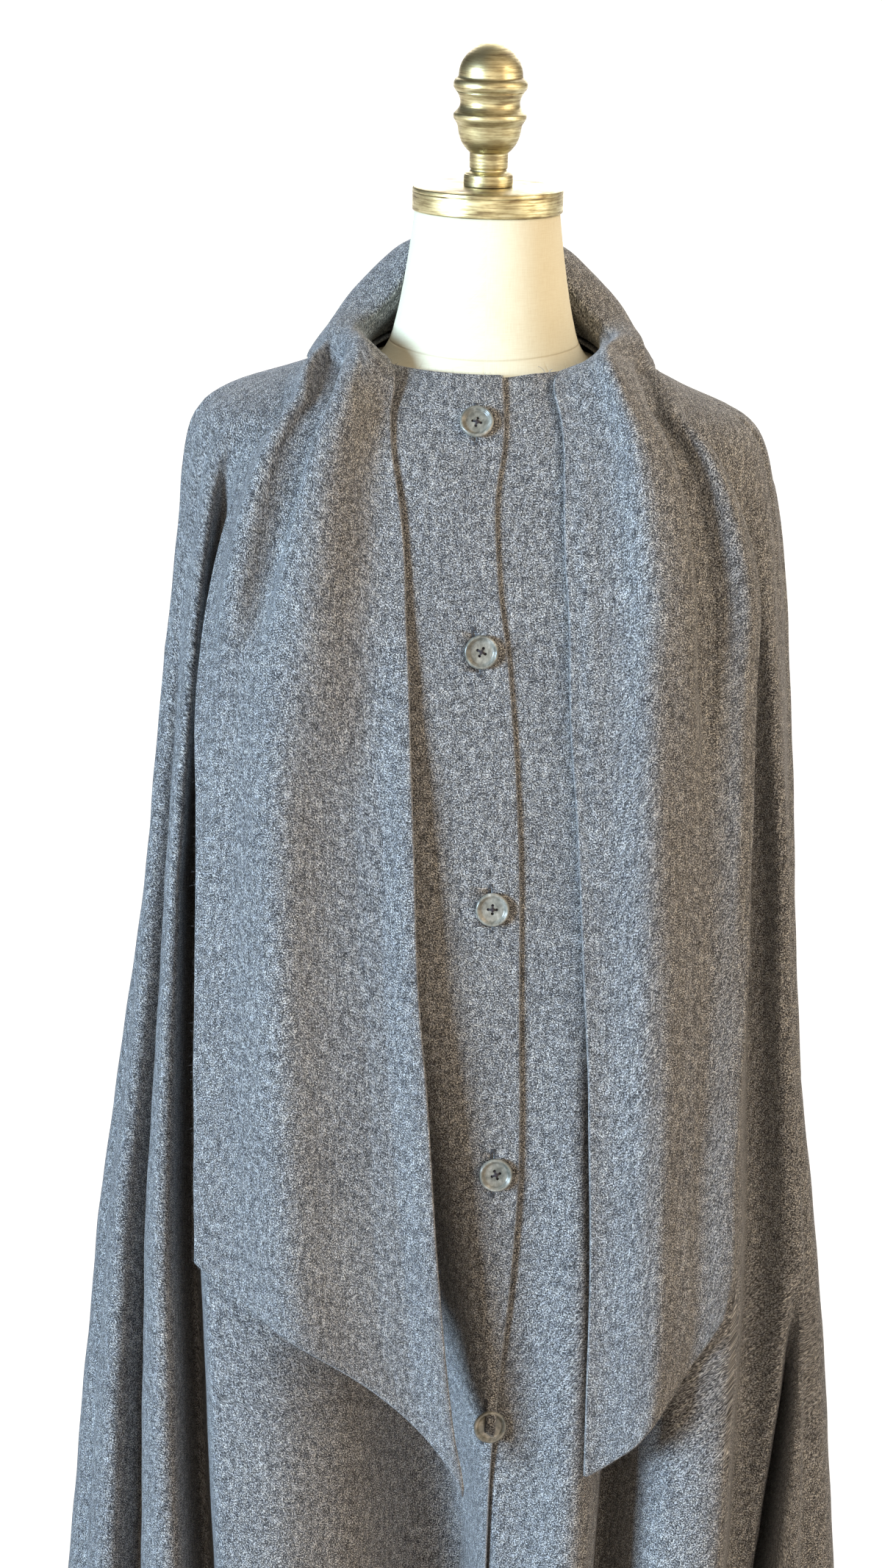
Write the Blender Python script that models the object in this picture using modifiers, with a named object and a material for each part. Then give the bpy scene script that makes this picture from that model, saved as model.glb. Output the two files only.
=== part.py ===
"""A wool cape coat with a scarf collar, standing on its limbless dress form.

Metres, +Z up. The wearer faces -Y, and the wearer's right is at -X. The origin is on the floor, in the
middle of the foot's underside.

Every piece of cloth is worked out on one smooth envelope, which is the surface that the folds' ridges
touch. A place on it is given by two numbers: turn, a quarter of the way round for each whole number, from 0
at the centre front to 1 at the left side, 2 at the back and -1 at the right side, and level, the row of
LEVELS that it lies on, from 0 at the neckline to the last row at the hem.
"""

import math

import bmesh
import bpy
import numpy as np

# Driving dimensions of the coat.
WOOL = 0.0022
SCARF_WOOL = 0.0024
SEAM_GAP = 0.0003
SEAM_STEP = 0.002
SEAM_CLEAR = 0.065
LAYER_GAP = 0.0009
UNDERLAP = 0.036
BUTTON_ACROSS = 0.0228
BUTTON_THICK = 0.0046
BUTTON_HOLE = 0.0020
BUTTON_HOLE_SPACING = 0.0040

# Driving dimensions of the dress form.
CAP_TOP = 1.5150
CAP_RADIUS = 0.0510
CAP_HEIGHT = 0.0165
TORSO_BOTTOM = 0.800
POLE_RADIUS = 0.0160
FOOT_RADIUS = 0.190
FOOT_HEIGHT = 0.022


def table(columns, rows):
    """A table with named columns, as a dictionary of arrays."""
    values = np.array(rows, float)
    return {name: values[:, i] for i, name in enumerate(columns.split())}


# The coat's envelope, from the neckline to the hem: how far it reaches to the side, the front and the back,
# the height of each of these places, and how square the section is (2 is an ellipse).
LEVELS = table("side front back z_side z_front z_back square", [
    (0.0800, 0.0770, 0.0660, 1.4000, 1.3975, 1.4180, 2.00),
    (0.1030, 0.0890, 0.0780, 1.3950, 1.3850, 1.4100, 2.00),
    (0.1420, 0.1040, 0.0950, 1.3820, 1.3640, 1.3940, 2.05),
    (0.1730, 0.1170, 0.1090, 1.3680, 1.3410, 1.3720, 2.10),
    (0.1900, 0.1280, 0.1210, 1.3500, 1.3140, 1.3430, 2.15),
    (0.1995, 0.1380, 0.1330, 1.3200, 1.2800, 1.3040, 2.25),
    (0.2060, 0.1475, 0.1440, 1.2680, 1.2350, 1.2490, 2.40),
    (0.2130, 0.1545, 0.1540, 1.1820, 1.1720, 1.1740, 2.45),
    (0.2205, 0.1600, 0.1620, 1.0920, 1.0900, 1.0900, 2.40),
    (0.2290, 0.1655, 0.1700, 1.0000, 1.0000, 1.0000, 2.35),
    (0.2420, 0.1730, 0.1800, 0.9000, 0.9000, 0.9000, 2.30),
    (0.2560, 0.1810, 0.1900, 0.7870, 0.7870, 0.7870, 2.30),
    (0.2670, 0.1890, 0.1990, 0.6500, 0.6500, 0.6500, 2.30),
    (0.2780, 0.1960, 0.2080, 0.5000, 0.5000, 0.5000, 2.30),
    (0.2870, 0.2020, 0.2150, 0.3300, 0.3300, 0.3300, 2.30),
])
HEM = len(LEVELS["side"]) - 1.0
SIDE_LEVEL = 7.0
# How far from the middle, in turns, the columns of points follow the front edge, and how far past that edge
# the left front rises to the level of the right one.
MIDDLE_REACH = 0.45
STEP_UP = 0.12

# The folds of the coat, each a trough between two ridges: its place, the level where it starts, its depth and
# half its width at the hem, and how square its floor is (2 is round, 3 is a deep pleat with steep walls). A
# fold's place is its turn at VERTICAL_LEVEL. Above and below that level its turn drifts, so that it hangs
# straight down while the coat gets wider.
FOLDS = table("place start depth half_width square", [
    (-1.12, 6.3, 0.034, 0.080, 2.0),
    (-0.84, 6.3, 0.028, 0.065, 2.0),
    (-0.62, 6.0, 0.018, 0.045, 2.0),
    (-0.40, 6.0, 0.046, 0.032, 3.0),
    (-0.19, 9.0, 0.010, 0.050, 2.0),
    (0.045, 6.6, 0.032, 0.125, 4.0),
    (0.24, 10.6, 0.016, 0.026, 2.0),
    (0.42, 8.0, 0.020, 0.045, 2.0),
    (0.55, 8.8, 0.050, 0.032, 3.0),
    (0.76, 6.3, 0.028, 0.065, 2.0),
    (1.07, 6.3, 0.034, 0.085, 2.0),
    (1.36, 6.3, 0.038, 0.080, 2.0),
    (1.62, 6.0, 0.034, 0.070, 2.0),
    (1.86, 5.4, 0.030, 0.060, 2.0),
    (2.10, 5.2, 0.044, 0.070, 2.2),
    (2.36, 6.2, 0.030, 0.065, 2.0),
    (2.62, 6.3, 0.040, 0.080, 2.0),
])
VERTICAL_LEVEL = 12.5
DRIFT = 0.050
DRIFT_RANGE = (-0.08, 0.20)

# The free front edge of the right front: its height and how far it lies to the wearer's left.
FRONT_EDGE = table("z x", [
    (1.3980, 0.0118),
    (1.3640, 0.0136),
    (1.3200, 0.0090),
    (1.2700, 0.0120),
    (1.2200, 0.0195),
    (1.1500, 0.0265),
    (1.0700, 0.0315),
    (0.9800, 0.0340),
    (0.8800, 0.0367),
    (0.8000, 0.0335),
    (0.7200, 0.0270),
    (0.6400, 0.0225),
    (0.5500, 0.0220),
    (0.3300, 0.0240),
])

# The scarf's edges where it hangs, on each side: the height of the section at its inner edge, the two edges'
# distance from the middle, and how much higher its outer edge is, which slants the lower end.
RIGHT_END = table("z inner outer slant", [
    (1.3960, 0.0600, 0.1230, -0.008),
    (1.3700, 0.0587, 0.1370, -0.010),
    (1.3300, 0.0545, 0.1570, -0.012),
    (1.2700, 0.0480, 0.1740, -0.010),
    (1.1900, 0.0440, 0.1820, 0.000),
    (1.1000, 0.0390, 0.1840, 0.010),
    (1.0100, 0.0345, 0.1820, 0.020),
    (0.9200, 0.0258, 0.1805, 0.040),
    (0.8200, 0.0178, 0.1790, 0.080),
    (0.7200, 0.0075, 0.1770, 0.125),
    (0.6540, -0.0030, 0.1750, 0.154),
])
LEFT_END = table("z inner outer slant", [
    (1.3960, 0.0480, 0.1220, -0.008),
    (1.3700, 0.0500, 0.1360, -0.010),
    (1.3300, 0.0540, 0.1560, -0.012),
    (1.2700, 0.0570, 0.1760, -0.010),
    (1.1900, 0.0620, 0.1870, 0.000),
    (1.1000, 0.0700, 0.1880, 0.008),
    (1.0100, 0.0755, 0.1880, 0.016),
    (0.9200, 0.0810, 0.1870, 0.030),
    (0.8200, 0.0845, 0.1850, 0.055),
    (0.7200, 0.0847, 0.1840, 0.078),
    (0.6640, 0.0845, 0.1815, 0.100),
])
# How the lower edge rises from its tip to its outer corner: a power below 1 is steepest at the tip.
RIGHT_SLANT_POWER = 0.68
LEFT_SLANT_POWER = 1.35

# The scarf round the neck, from the centre back to the side of the neck: the turn of each section, how high
# its roll stands off the coat, the level under the roll, how upright it stands, and the turn and level where
# the outer edge lies.
COLLAR = table("turn roll roll_level upright outer_turn outer_level", [
    (2.00, 0.0640, 0.20, 2.2, 2.00, 3.10),
    (1.70, 0.0610, 0.15, 2.2, 1.72, 2.75),
    (1.40, 0.0460, 0.12, 2.2, 1.43, 2.20),
    (1.12, 0.0280, 0.40, 1.0, 1.15, 1.75),
    (0.88, 0.0140, 1.00, 0.0, 0.92, 1.55),
])
# Where across it the scarf rolls over, and how full it is from there down: below 1 it bulges.
ROLL_AT = 0.42
FALL_POWER = 0.9
# The scarf's rows of points: round the neck, over the chest, and down the hanging end.
NECK_ROWS = 15
CHEST_ROWS = 8
HANGING_ROWS = 9
CHEST_SECTION = 4

# The soft folds that run down each half of the scarf: the place across it where a fold starts and ends, from
# 0 at the inner edge to 1 at the outer one, the first and last section that it reaches, its height, which is
# negative in a valley, and half its width.
RIGHT_RIDGES = table("top bottom first last height half_width", [
    (0.46, 0.64, 0.0, 10.0, 0.0170, 0.26),
    (0.00, 0.00, 3.0, 10.0, 0.0060, 0.10),
    (0.66, 0.70, 0.2, 4.0, -0.0070, 0.08),
])
LEFT_RIDGES = table("top bottom first last height half_width", [
    (0.52, 0.46, 0.0, 10.0, 0.0160, 0.26),
    (0.30, 0.28, 0.0, 4.5, -0.0070, 0.08),
    (0.96, 0.96, 2.0, 10.0, 0.0040, 0.10),
])
RIDGE_EASE = 1.6

BUTTONS = table("x z", [
    (-0.0040, 1.3690),
    (0.0026, 1.2257),
    (0.0143, 1.0537),
    (0.0216, 0.8704),
    (0.0218, 0.6913),
])

# The dress form's torso and neck, from the neck's top to the lower edge, in the columns of LEVELS.
TORSO = table("side front back z_side z_front z_back square", [
    (0.0492, 0.0492, 0.0492, 1.4980, 1.4980, 1.4980, 2.00),
    (0.0515, 0.0515, 0.0510, 1.4780, 1.4780, 1.4800, 2.00),
    (0.0555, 0.0555, 0.0540, 1.4500, 1.4500, 1.4560, 2.00),
    (0.0600, 0.0600, 0.0570, 1.4260, 1.4240, 1.4370, 2.00),
    (0.0645, 0.0650, 0.0590, 1.4100, 1.4060, 1.4240, 2.00),
    (0.0750, 0.0720, 0.0610, 1.3965, 1.3930, 1.4135, 2.00),
    (0.0990, 0.0820, 0.0730, 1.3895, 1.3780, 1.4040, 2.00),
    (0.1370, 0.0970, 0.0890, 1.3765, 1.3570, 1.3880, 2.05),
    (0.1660, 0.1090, 0.1020, 1.3620, 1.3350, 1.3660, 2.10),
    (0.1790, 0.1180, 0.1120, 1.3450, 1.3110, 1.3400, 2.10),
    (0.1780, 0.1230, 0.1180, 1.3200, 1.2850, 1.3080, 2.10),
    (0.1680, 0.1270, 0.1180, 1.2850, 1.2600, 1.2700, 2.10),
    (0.1540, 0.1260, 0.1140, 1.2200, 1.2100, 1.2200, 2.10),
    (0.1390, 0.1110, 0.1040, 1.1500, 1.1500, 1.1500, 2.10),
    (0.1240, 0.0960, 0.0940, 1.0700, 1.0700, 1.0700, 2.10),
    (0.1340, 0.1000, 0.1060, 1.0000, 1.0000, 1.0000, 2.10),
    (0.1580, 0.1080, 0.1260, 0.9000, 0.9000, 0.9000, 2.10),
    (0.1680, 0.1110, 0.1340, 0.8400, 0.8400, 0.8400, 2.10),
    (0.1670, 0.1100, 0.1330, 0.8060, 0.8060, 0.8060, 2.10),
    (0.1610, 0.1040, 0.1270, 0.8000, 0.8000, 0.8000, 2.10),
])

# Turned profiles: radius and height above the piece's own underside, top to bottom.
FINIAL_PROFILE = [
    (0.0000, 0.0960), (0.0050, 0.0952), (0.0110, 0.0920), (0.0170, 0.0858), (0.0212, 0.0775),
    (0.0218, 0.0735), (0.0248, 0.0712), (0.0248, 0.0665), (0.0212, 0.0640), (0.0200, 0.0585),
    (0.0210, 0.0520), (0.0243, 0.0492), (0.0243, 0.0445), (0.0219, 0.0420), (0.0215, 0.0380),
    (0.0180, 0.0290), (0.0133, 0.0225), (0.0128, 0.0205), (0.0128, 0.0105), (0.0165, 0.0090),
    (0.0165, 0.0000), (0.0000, 0.0000),
]
CAP_PROFILE = [
    (0.0000, CAP_HEIGHT), (CAP_RADIUS - 0.0022, CAP_HEIGHT), (CAP_RADIUS - 0.0006, CAP_HEIGHT - 0.0006),
    (CAP_RADIUS, CAP_HEIGHT - 0.0022), (CAP_RADIUS, 0.0), (0.0, 0.0),
]
FOOT_PROFILE = [
    (0.0000, FOOT_HEIGHT), (0.0300, FOOT_HEIGHT), (0.0450, 0.0185), (0.1200, 0.0150),
    (FOOT_RADIUS - 0.0060, 0.0120), (FOOT_RADIUS, 0.0080), (FOOT_RADIUS, 0.0), (0.0, 0.0),
]
BUTTON_PROFILE = [
    (0.00, 0.58), (0.56, 0.58), (0.70, 0.80), (0.84, 1.00), (0.96, 0.86), (1.00, 0.52), (0.90, 0.16),
    (0.66, 0.00), (0.00, 0.00),
]


def curve(knots, values, at):
    """A smooth curve through the values, read at the given places; it doesn't swing past them."""
    knots, values, at = (np.asarray(a, float) for a in (knots, values, at))
    slopes = np.diff(values) / np.diff(knots)
    joined = np.zeros_like(values)
    same = slopes[:-1] * slopes[1:] > 0
    joined[1:-1][same] = (2 * slopes[:-1] * slopes[1:] / (slopes[:-1] + slopes[1:] + 1e-12))[same]
    joined[0], joined[-1] = slopes[0], slopes[-1]
    i = np.clip(np.searchsorted(knots, at) - 1, 0, len(knots) - 2)
    width = knots[i + 1] - knots[i]
    s = np.clip((at - knots[i]) / width, 0, 1)
    return ((1 + 2 * s) * (1 - s) ** 2 * values[i] + s * (1 - s) ** 2 * width * joined[i]
            + s ** 2 * (3 - 2 * s) * values[i + 1] + s ** 2 * (s - 1) * width * joined[i + 1])


def eased(x):
    """0 below 0, 1 above 1, and a smooth rise between."""
    x = np.clip(x, 0, 1)
    return x * x * (3 - 2 * x)


def section_point(levels, turn, level):
    """Points of a body given by a table of levels, at the given turns and levels."""
    rows = np.arange(len(levels["side"]))
    side, front, back, z_side, z_front, z_back, square = (
        curve(rows, levels[name], level) for name in levels)
    angle = np.asarray(turn, float) * math.pi / 2
    across, along = np.sin(angle), np.cos(angle)
    x = side * np.sign(across) * np.abs(across) ** (2 / square)
    y = -np.where(along > 0, front, back) * np.sign(along) * np.abs(along) ** (2 / square)
    z = z_side + (np.where(along > 0, z_front, z_back) - z_side) * along ** 2
    return np.stack([x, y, z], -1)


def envelope(turn, level):
    """Points of the coat's envelope, and the directions that point straight out of it."""
    turn, level = np.broadcast_arrays(np.asarray(turn, float), np.asarray(level, float))
    step = 0.02
    point = section_point(LEVELS, turn, level)
    round_it = section_point(LEVELS, turn + step, level) - section_point(LEVELS, turn - step, level)
    low = np.clip(level + step, 0, HEM)
    high = np.clip(level - step, 0, HEM)
    down = section_point(LEVELS, turn, low) - section_point(LEVELS, turn, high)
    out = np.cross(down, round_it)
    return point, out / np.linalg.norm(out, axis=-1, keepdims=True)


def drift(level):
    """How far a fold's turn drifts at each level, at a place halfway between the middle and the side."""
    return np.clip(DRIFT * (VERTICAL_LEVEL - np.asarray(level, float)), *DRIFT_RANGE)


def turn_of(place, level):
    """The turn at which a place lies, drifted so that a fold hangs straight down."""
    return place + drift(level) * np.sin(math.pi * place)


def place_of(turn, level):
    """The place that lies at a turn, found by stepping towards it."""
    place = turn
    for _ in range(30):
        place = place + (turn - turn_of(place, level)) * 0.7
    return place


def fold_depth(place, level):
    """How far the folds lie inside the envelope."""
    depth = np.zeros(np.broadcast(place, level).shape)
    for middle, start, deep, half_width, square in zip(*FOLDS.values()):
        away = (np.asarray(place) - middle + 2) % 4 - 2
        grown = eased((level - start) / (HEM - start + 1))
        depth += deep * grown * np.exp(-np.abs(away / half_width) ** square)
    return depth


def coat_points(place, level, lift=0.0):
    """Points of the folded coat, moved out by lift."""
    point, out = envelope(turn_of(place, level), level)
    return point + out * (lift - fold_depth(place, level))[..., None]


def turn_on_front(x, z):
    """The turn and level of the point of the envelope's front that lies at x and z."""
    x, z = np.broadcast_arrays(np.asarray(x, float), np.asarray(z, float))
    rows = np.arange(len(LEVELS["side"]))
    turn = np.zeros(x.shape)
    for _ in range(30):
        along = np.cos(turn * math.pi / 2) ** 2
        fine = np.linspace(0, HEM, 281)
        height = (curve(rows, LEVELS["z_side"], fine)[:, None] * (1 - along.ravel())
                  + curve(rows, LEVELS["z_front"], fine)[:, None] * along.ravel())
        level = np.array([np.interp(-value, -column, fine) for value, column in zip(z.ravel(), height.T)])
        level = level.reshape(x.shape)
        share = np.clip(np.abs(x) / curve(rows, LEVELS["side"], level), 0, 0.999)
        square = curve(rows, LEVELS["square"], level)
        turn = np.sign(x) * np.arcsin(share ** (square / 2)) * 2 / math.pi
    return turn, level


def collections(name):
    """The collections for the parts and for the cutters."""
    found = []
    for title in (name, "cutters"):
        collection = bpy.data.collections.new(title)
        bpy.context.scene.collection.children.link(collection)
        found.append(collection)
    return found


def material(name, colour, roughness, metallic=0.0):
    """A Principled material."""
    made = bpy.data.materials.new(name)
    made.use_nodes = True
    shader = made.node_tree.nodes["Principled BSDF"]
    shader.inputs["Base Color"].default_value = (*colour, 1)
    shader.inputs["Roughness"].default_value = roughness
    shader.inputs["Metallic"].default_value = metallic
    return made


def mesh_object(name, vertices, faces, look, collection, sharp_angle=45):
    """An object from vertices and faces, shaded smooth except at its sharp edges."""
    mesh = bpy.data.meshes.new(name)
    mesh.from_pydata([tuple(v) for v in vertices], [], faces)
    mesh.materials.append(look)
    mesh.shade_smooth()
    mesh.set_sharp_from_angle(angle=math.radians(sharp_angle))
    made = bpy.data.objects.new(name, mesh)
    collection.objects.link(made)
    return made


def grid_faces(rows, columns, closed=False):
    """The quads of a grid of points, which meet round the back where it is closed."""
    across = columns if closed else columns - 1
    return [(r * columns + c, r * columns + (c + 1) % columns,
             (r + 1) * columns + (c + 1) % columns, (r + 1) * columns + c)
            for r in range(rows - 1) for c in range(across)]


def cloth(name, points, thickness, look, collection):
    """A wall of cloth round a grid of middle points, whose rows run down and whose columns run round."""
    rows, columns = points.shape[:2]
    faces = [face[::-1] for face in grid_faces(rows, columns)]
    made = mesh_object(name, points.reshape(-1, 3), faces, look, collection)
    wall = made.modifiers.new("wall", "SOLIDIFY")
    wall.thickness = thickness
    wall.offset = 0
    wall.use_even_offset = True
    return made


def spread(low, high, count, extra=()):
    """Evenly spread places from low to high, with extra ones between, none too close together."""
    step = (high - low) / count
    places = [low, high]
    for place in sorted(extra):
        if low + step * 0.3 < place < high - step * 0.3:
            places.append(place)
    for place in np.linspace(low, high, count + 1)[1:-1]:
        if min(abs(place - other) for other in places) > step * 0.55:
            places.append(place)
    return np.array(sorted(places))


def fold_columns(low, high):
    """The places that the folds need for their walls and floors."""
    wanted = []
    for middle, half_width in zip(FOLDS["place"], FOLDS["half_width"]):
        for share in (-1.3, -0.75, 0, 0.75, 1.3):
            wanted += [middle + half_width * share + whole for whole in (0, 4)]
    return [place for place in wanted if low < place < high]


def level_rows():
    """The levels of the rows of points, closer together over the shoulders."""
    upper = np.arange(0, SIDE_LEVEL, 0.6)
    return np.concatenate([upper, np.linspace(SIDE_LEVEL, HEM, 12)])


def seam_places(level):
    """How far from a side seam, at each level, the panel's edge and its next column of points lie."""
    ahead = coat_points(np.full(level.shape, 0.99), level)
    behind = coat_points(np.full(level.shape, 1.01), level)
    each = np.linalg.norm(behind - ahead, axis=1) / 0.02
    return SEAM_GAP / 2 / each, (SEAM_GAP / 2 + SEAM_STEP) / each


def front_edge_place(level, moved=0.0):
    """The place of the front edge at each level, moved to the wearer's left."""
    z = section_point(LEVELS, np.zeros_like(level), level)[:, 2]
    x = curve(-FRONT_EDGE["z"], FRONT_EDGE["x"], -z) + moved
    return place_of(turn_on_front(x, z)[0], level)


def build_fronts(look, collection):
    """The two fronts: the right one on top, and the left one under it past the front edge."""
    level = level_rows()
    gap, step = seam_places(level)
    edge, edge_under = front_edge_place(level), front_edge_place(level, -UNDERLAP)
    shared = edge_under[:, None] + (edge - edge_under)[:, None] * np.linspace(0, 1, 5)[None, :]
    columns = spread(-1.0, 0.0, 14, fold_columns(SEAM_CLEAR - 1, 0))[:-1]
    columns = columns[columns > SEAM_CLEAR - 1]
    ease = eased((columns + MIDDLE_REACH) / MIDDLE_REACH)
    place = columns[None, :] + edge_under[:, None] * ease[None, :]
    place = np.concatenate([(gap - 1)[:, None], (step - 1)[:, None], place, shared], axis=1)
    rows = np.broadcast_to(level[:, None], place.shape)
    cloth("front_right", coat_points(place, rows), WOOL, look, collection)

    columns = spread(0.0, 1.0, 14, fold_columns(0, 1 - SEAM_CLEAR))[1:]
    columns = columns[columns < 1 - SEAM_CLEAR]
    ease = eased((MIDDLE_REACH - columns) / MIDDLE_REACH)
    place = columns[None, :] + edge[:, None] * ease[None, :]
    place = np.concatenate([shared, place, (1 - step)[:, None], (1 - gap)[:, None]], axis=1)
    rows = np.broadcast_to(level[:, None], place.shape)
    past_edge = eased(1 - (place - edge[:, None]) / STEP_UP)
    lift = -(WOOL + LAYER_GAP) * past_edge
    cloth("front_left", coat_points(place, rows, lift), WOOL, look, collection)


def build_back(look, collection):
    """The back, from side seam to side seam."""
    level = level_rows()
    gap, step = seam_places(level)
    columns = spread(1.0, 3.0, 26, fold_columns(1 + SEAM_CLEAR, 3 - SEAM_CLEAR))
    columns = columns[(columns > 1 + SEAM_CLEAR) & (columns < 3 - SEAM_CLEAR)]
    place = np.broadcast_to(columns, (len(level), len(columns)))
    place = np.concatenate([(1 + gap)[:, None], (1 + step)[:, None], place,
                            (3 - step)[:, None], (3 - gap)[:, None]], axis=1)
    rows = np.broadcast_to(level[:, None], place.shape)
    cloth("back", coat_points(place, rows), WOOL, look, collection)


def ridge_heights(ridges, across, down):
    """How high the soft folds of the scarf stand, at the places across it and the sections down it."""
    height = np.zeros((len(down), len(across)))
    for top, bottom, first, last, tall, half_width in zip(*ridges.values()):
        share = np.clip((down - first) / (last - first), 0, 1)
        middle = top + (bottom - top) * share
        grown = eased((down - first + RIDGE_EASE) / RIDGE_EASE / 2)
        if last < down[-1]:
            grown = grown * eased((last - down) / RIDGE_EASE)
        height += tall * grown[:, None] * np.exp(-((across[None, :] - middle[:, None]) / half_width) ** 2)
    return height


def scarf_places(end, slant_power, ridges, across):
    """The turn, level and lift of one half of the scarf's sections, from the centre back to the lower end."""
    lift_low = (WOOL + SCARF_WOOL) / 2 + LAYER_GAP * 2.5
    v = np.linspace(0, 1, across)
    down = np.arange(len(end["z"]))
    x = end["inner"][:, None] + (end["outer"] - end["inner"])[:, None] * v[None, :]
    height = end["z"][:, None] + end["slant"][:, None] * v[None, :] ** slant_power
    turn, level = turn_on_front(x, height)
    hang_lift = lift_low + np.maximum(ridge_heights(ridges, v, down), 0)

    first = COLLAR["turn"][:, None] * np.ones(across)
    outer_turn = COLLAR["outer_turn"][:, None]
    over = eased(v)[None, :]
    collar_turn = first * (1 - over) + outer_turn * over
    collar_level = np.array([np.interp(v, [0, ROLL_AT, 1], [0.0, low, high])
                             for low, high in zip(COLLAR["roll_level"], COLLAR["outer_level"])])
    bulge = np.where(v < ROLL_AT, np.sin(v / ROLL_AT * math.pi / 2),
                     np.cos((v - ROLL_AT) / (1 - ROLL_AT) * math.pi / 2) ** FALL_POWER)
    collar_lift = lift_low + COLLAR["roll"][:, None] * bulge[None, :]
    collar_upright = COLLAR["upright"][:, None] * bulge[None, :]
    return (np.concatenate([collar_turn, turn]), np.concatenate([collar_level, level]),
            np.concatenate([collar_lift, hang_lift]), np.concatenate([collar_upright, turn * 0]))


def scarf_points(turn, level, lift, upright):
    """Points of the scarf: lifted off the envelope, straight out of it or more upright."""
    point, out = envelope(turn, level)
    out = out + np.array([0, 0, 1]) * upright[..., None]
    return point + out / np.linalg.norm(out, axis=-1, keepdims=True) * lift[..., None]


def lengthways(places, along, at):
    """Smooth curves through each column of places, which lie at the distances along, read at others."""
    return np.stack([curve(along, column, at) for column in places.T], 1)


def build_scarf(name, end, slant_power, ridges, side, look, collection):
    """One half of the scarf collar; side is 1 for the wearer's left and -1 for the right."""
    places = scarf_places(end, slant_power, ridges, across=12)
    middles = scarf_points(*places).mean(axis=1)
    along = np.concatenate([[0], np.cumsum(np.linalg.norm(np.diff(middles, axis=0), axis=1))])
    neck_end = along[len(COLLAR["turn"]) + 1]
    chest_end = along[len(COLLAR["turn"]) + CHEST_SECTION]
    at = np.concatenate([[0, SEAM_STEP], np.linspace(0, neck_end, NECK_ROWS + 1)[1:],
                         np.linspace(neck_end, chest_end, CHEST_ROWS + 1)[1:],
                         np.linspace(chest_end, along[-1], HANGING_ROWS + 1)[1:]])
    points = scarf_points(*(lengthways(each, along, at) for each in places))
    points[:2, :, 0] = np.array([[SEAM_GAP / 2], [SEAM_GAP / 2 + SEAM_STEP]])
    points[:2, :, 1:] = points[0, :, 1:]
    points[..., 0] *= side
    if side < 0:
        points = points[:, ::-1]
    cloth(name, points, SCARF_WOOL, look, collection)


def turned(name, profile, steps, look, collection, bottom=0.0):
    """A piece turned about its own Z axis from a profile of radii and heights, top to bottom."""
    mesh = bpy.data.meshes.new(name)
    points = [(radius, 0, height) for radius, height in profile]
    mesh.from_pydata(points, [(i, i + 1) for i in range(len(points) - 1)], [])
    mesh.materials.append(look)
    made = bpy.data.objects.new(name, mesh)
    made.location.z = bottom
    collection.objects.link(made)
    turn = made.modifiers.new("turn", "SCREW")
    turn.steps = steps
    turn.render_steps = steps
    turn.use_merge_vertices = True
    turn.merge_threshold = 0.00001
    turn.use_smooth_shade = True
    return made


def button_cutter(collection):
    """The four holes of a button, as one cutter about the origin."""
    mesh = bpy.data.meshes.new("button_holes")
    shape = bmesh.new()
    for i in range(4):
        hole = bmesh.ops.create_cone(shape, cap_ends=True, segments=6, radius1=BUTTON_HOLE / 2,
                                     radius2=BUTTON_HOLE / 2, depth=BUTTON_THICK * 3)
        angle = math.pi / 4 + i * math.pi / 2
        reach = BUTTON_HOLE_SPACING / math.sqrt(2)
        bmesh.ops.translate(shape, verts=hole["verts"],
                            vec=(reach * math.cos(angle), reach * math.sin(angle), 0))
    shape.to_mesh(mesh)
    shape.free()
    made = bpy.data.objects.new("button_holes", mesh)
    made.hide_render = True
    made.display_type = "WIRE"
    collection.objects.link(made)
    return made


def build_buttons(look, collection, cutters):
    """The five buttons, flat on the right front, each with its four holes."""
    holes = button_cutter(cutters)
    radius = BUTTON_ACROSS / 2
    profile = [(r * radius, h * BUTTON_THICK) for r, h in BUTTON_PROFILE]
    for number, (x, z) in enumerate(zip(BUTTONS["x"], BUTTONS["z"]), start=1):
        turn, level = turn_on_front(x, z)
        out = envelope(turn, level)[1]
        base = coat_points(place_of(turn, level), level, WOOL / 2 + LAYER_GAP)
        made = turned(f"button_{number}", profile, 16, look, collection)
        cut = made.modifiers.new("holes", "BOOLEAN")
        cut.object = holes
        made.location = base
        made.rotation_mode = "XYZ"
        made.rotation_euler = (math.atan2(-out[1], out[2]), 0, math.asin(out[0]))
        cutter = holes.copy()
        cutter.name = f"button_holes_{number}"
        cutters.objects.link(cutter)
        cutter.location = made.location
        cutter.rotation_euler = made.rotation_euler
        cut.object = cutter
    bpy.data.objects.remove(holes)


def build_torso(look, collection):
    """The dress form's torso and neck, one smooth closed body."""
    count = 28
    level = np.linspace(0, len(TORSO["side"]) - 1, 29)
    turn = np.arange(count) * 4 / count
    points = section_point(TORSO, turn[None, :], level[:, None])
    faces = [face[::-1] for face in grid_faces(len(level), count, closed=True)]
    last = (len(level) - 1) * count
    faces.append(tuple(range(count)))
    faces.append(tuple(last + c for c in reversed(range(count))))
    mesh_object("form_torso", points.reshape(-1, 3), faces, look, collection)


def build_stand(brass, dark_metal, collection):
    """The neck cap, the finial, the pole and the foot, one above the other."""
    cap_bottom = CAP_TOP - CAP_HEIGHT
    turned("neck_cap", CAP_PROFILE, 32, brass, collection, cap_bottom)
    turned("finial", FINIAL_PROFILE, 18, brass, collection, CAP_TOP + SEAM_GAP)
    pole_height = TORSO_BOTTOM - FOOT_HEIGHT - 2 * SEAM_GAP
    pole = [(0, pole_height), (POLE_RADIUS, pole_height), (POLE_RADIUS, 0), (0, 0)]
    turned("pole", pole, 20, dark_metal, collection, FOOT_HEIGHT + SEAM_GAP)
    turned("foot", FOOT_PROFILE, 32, dark_metal, collection, 0.0)


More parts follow.
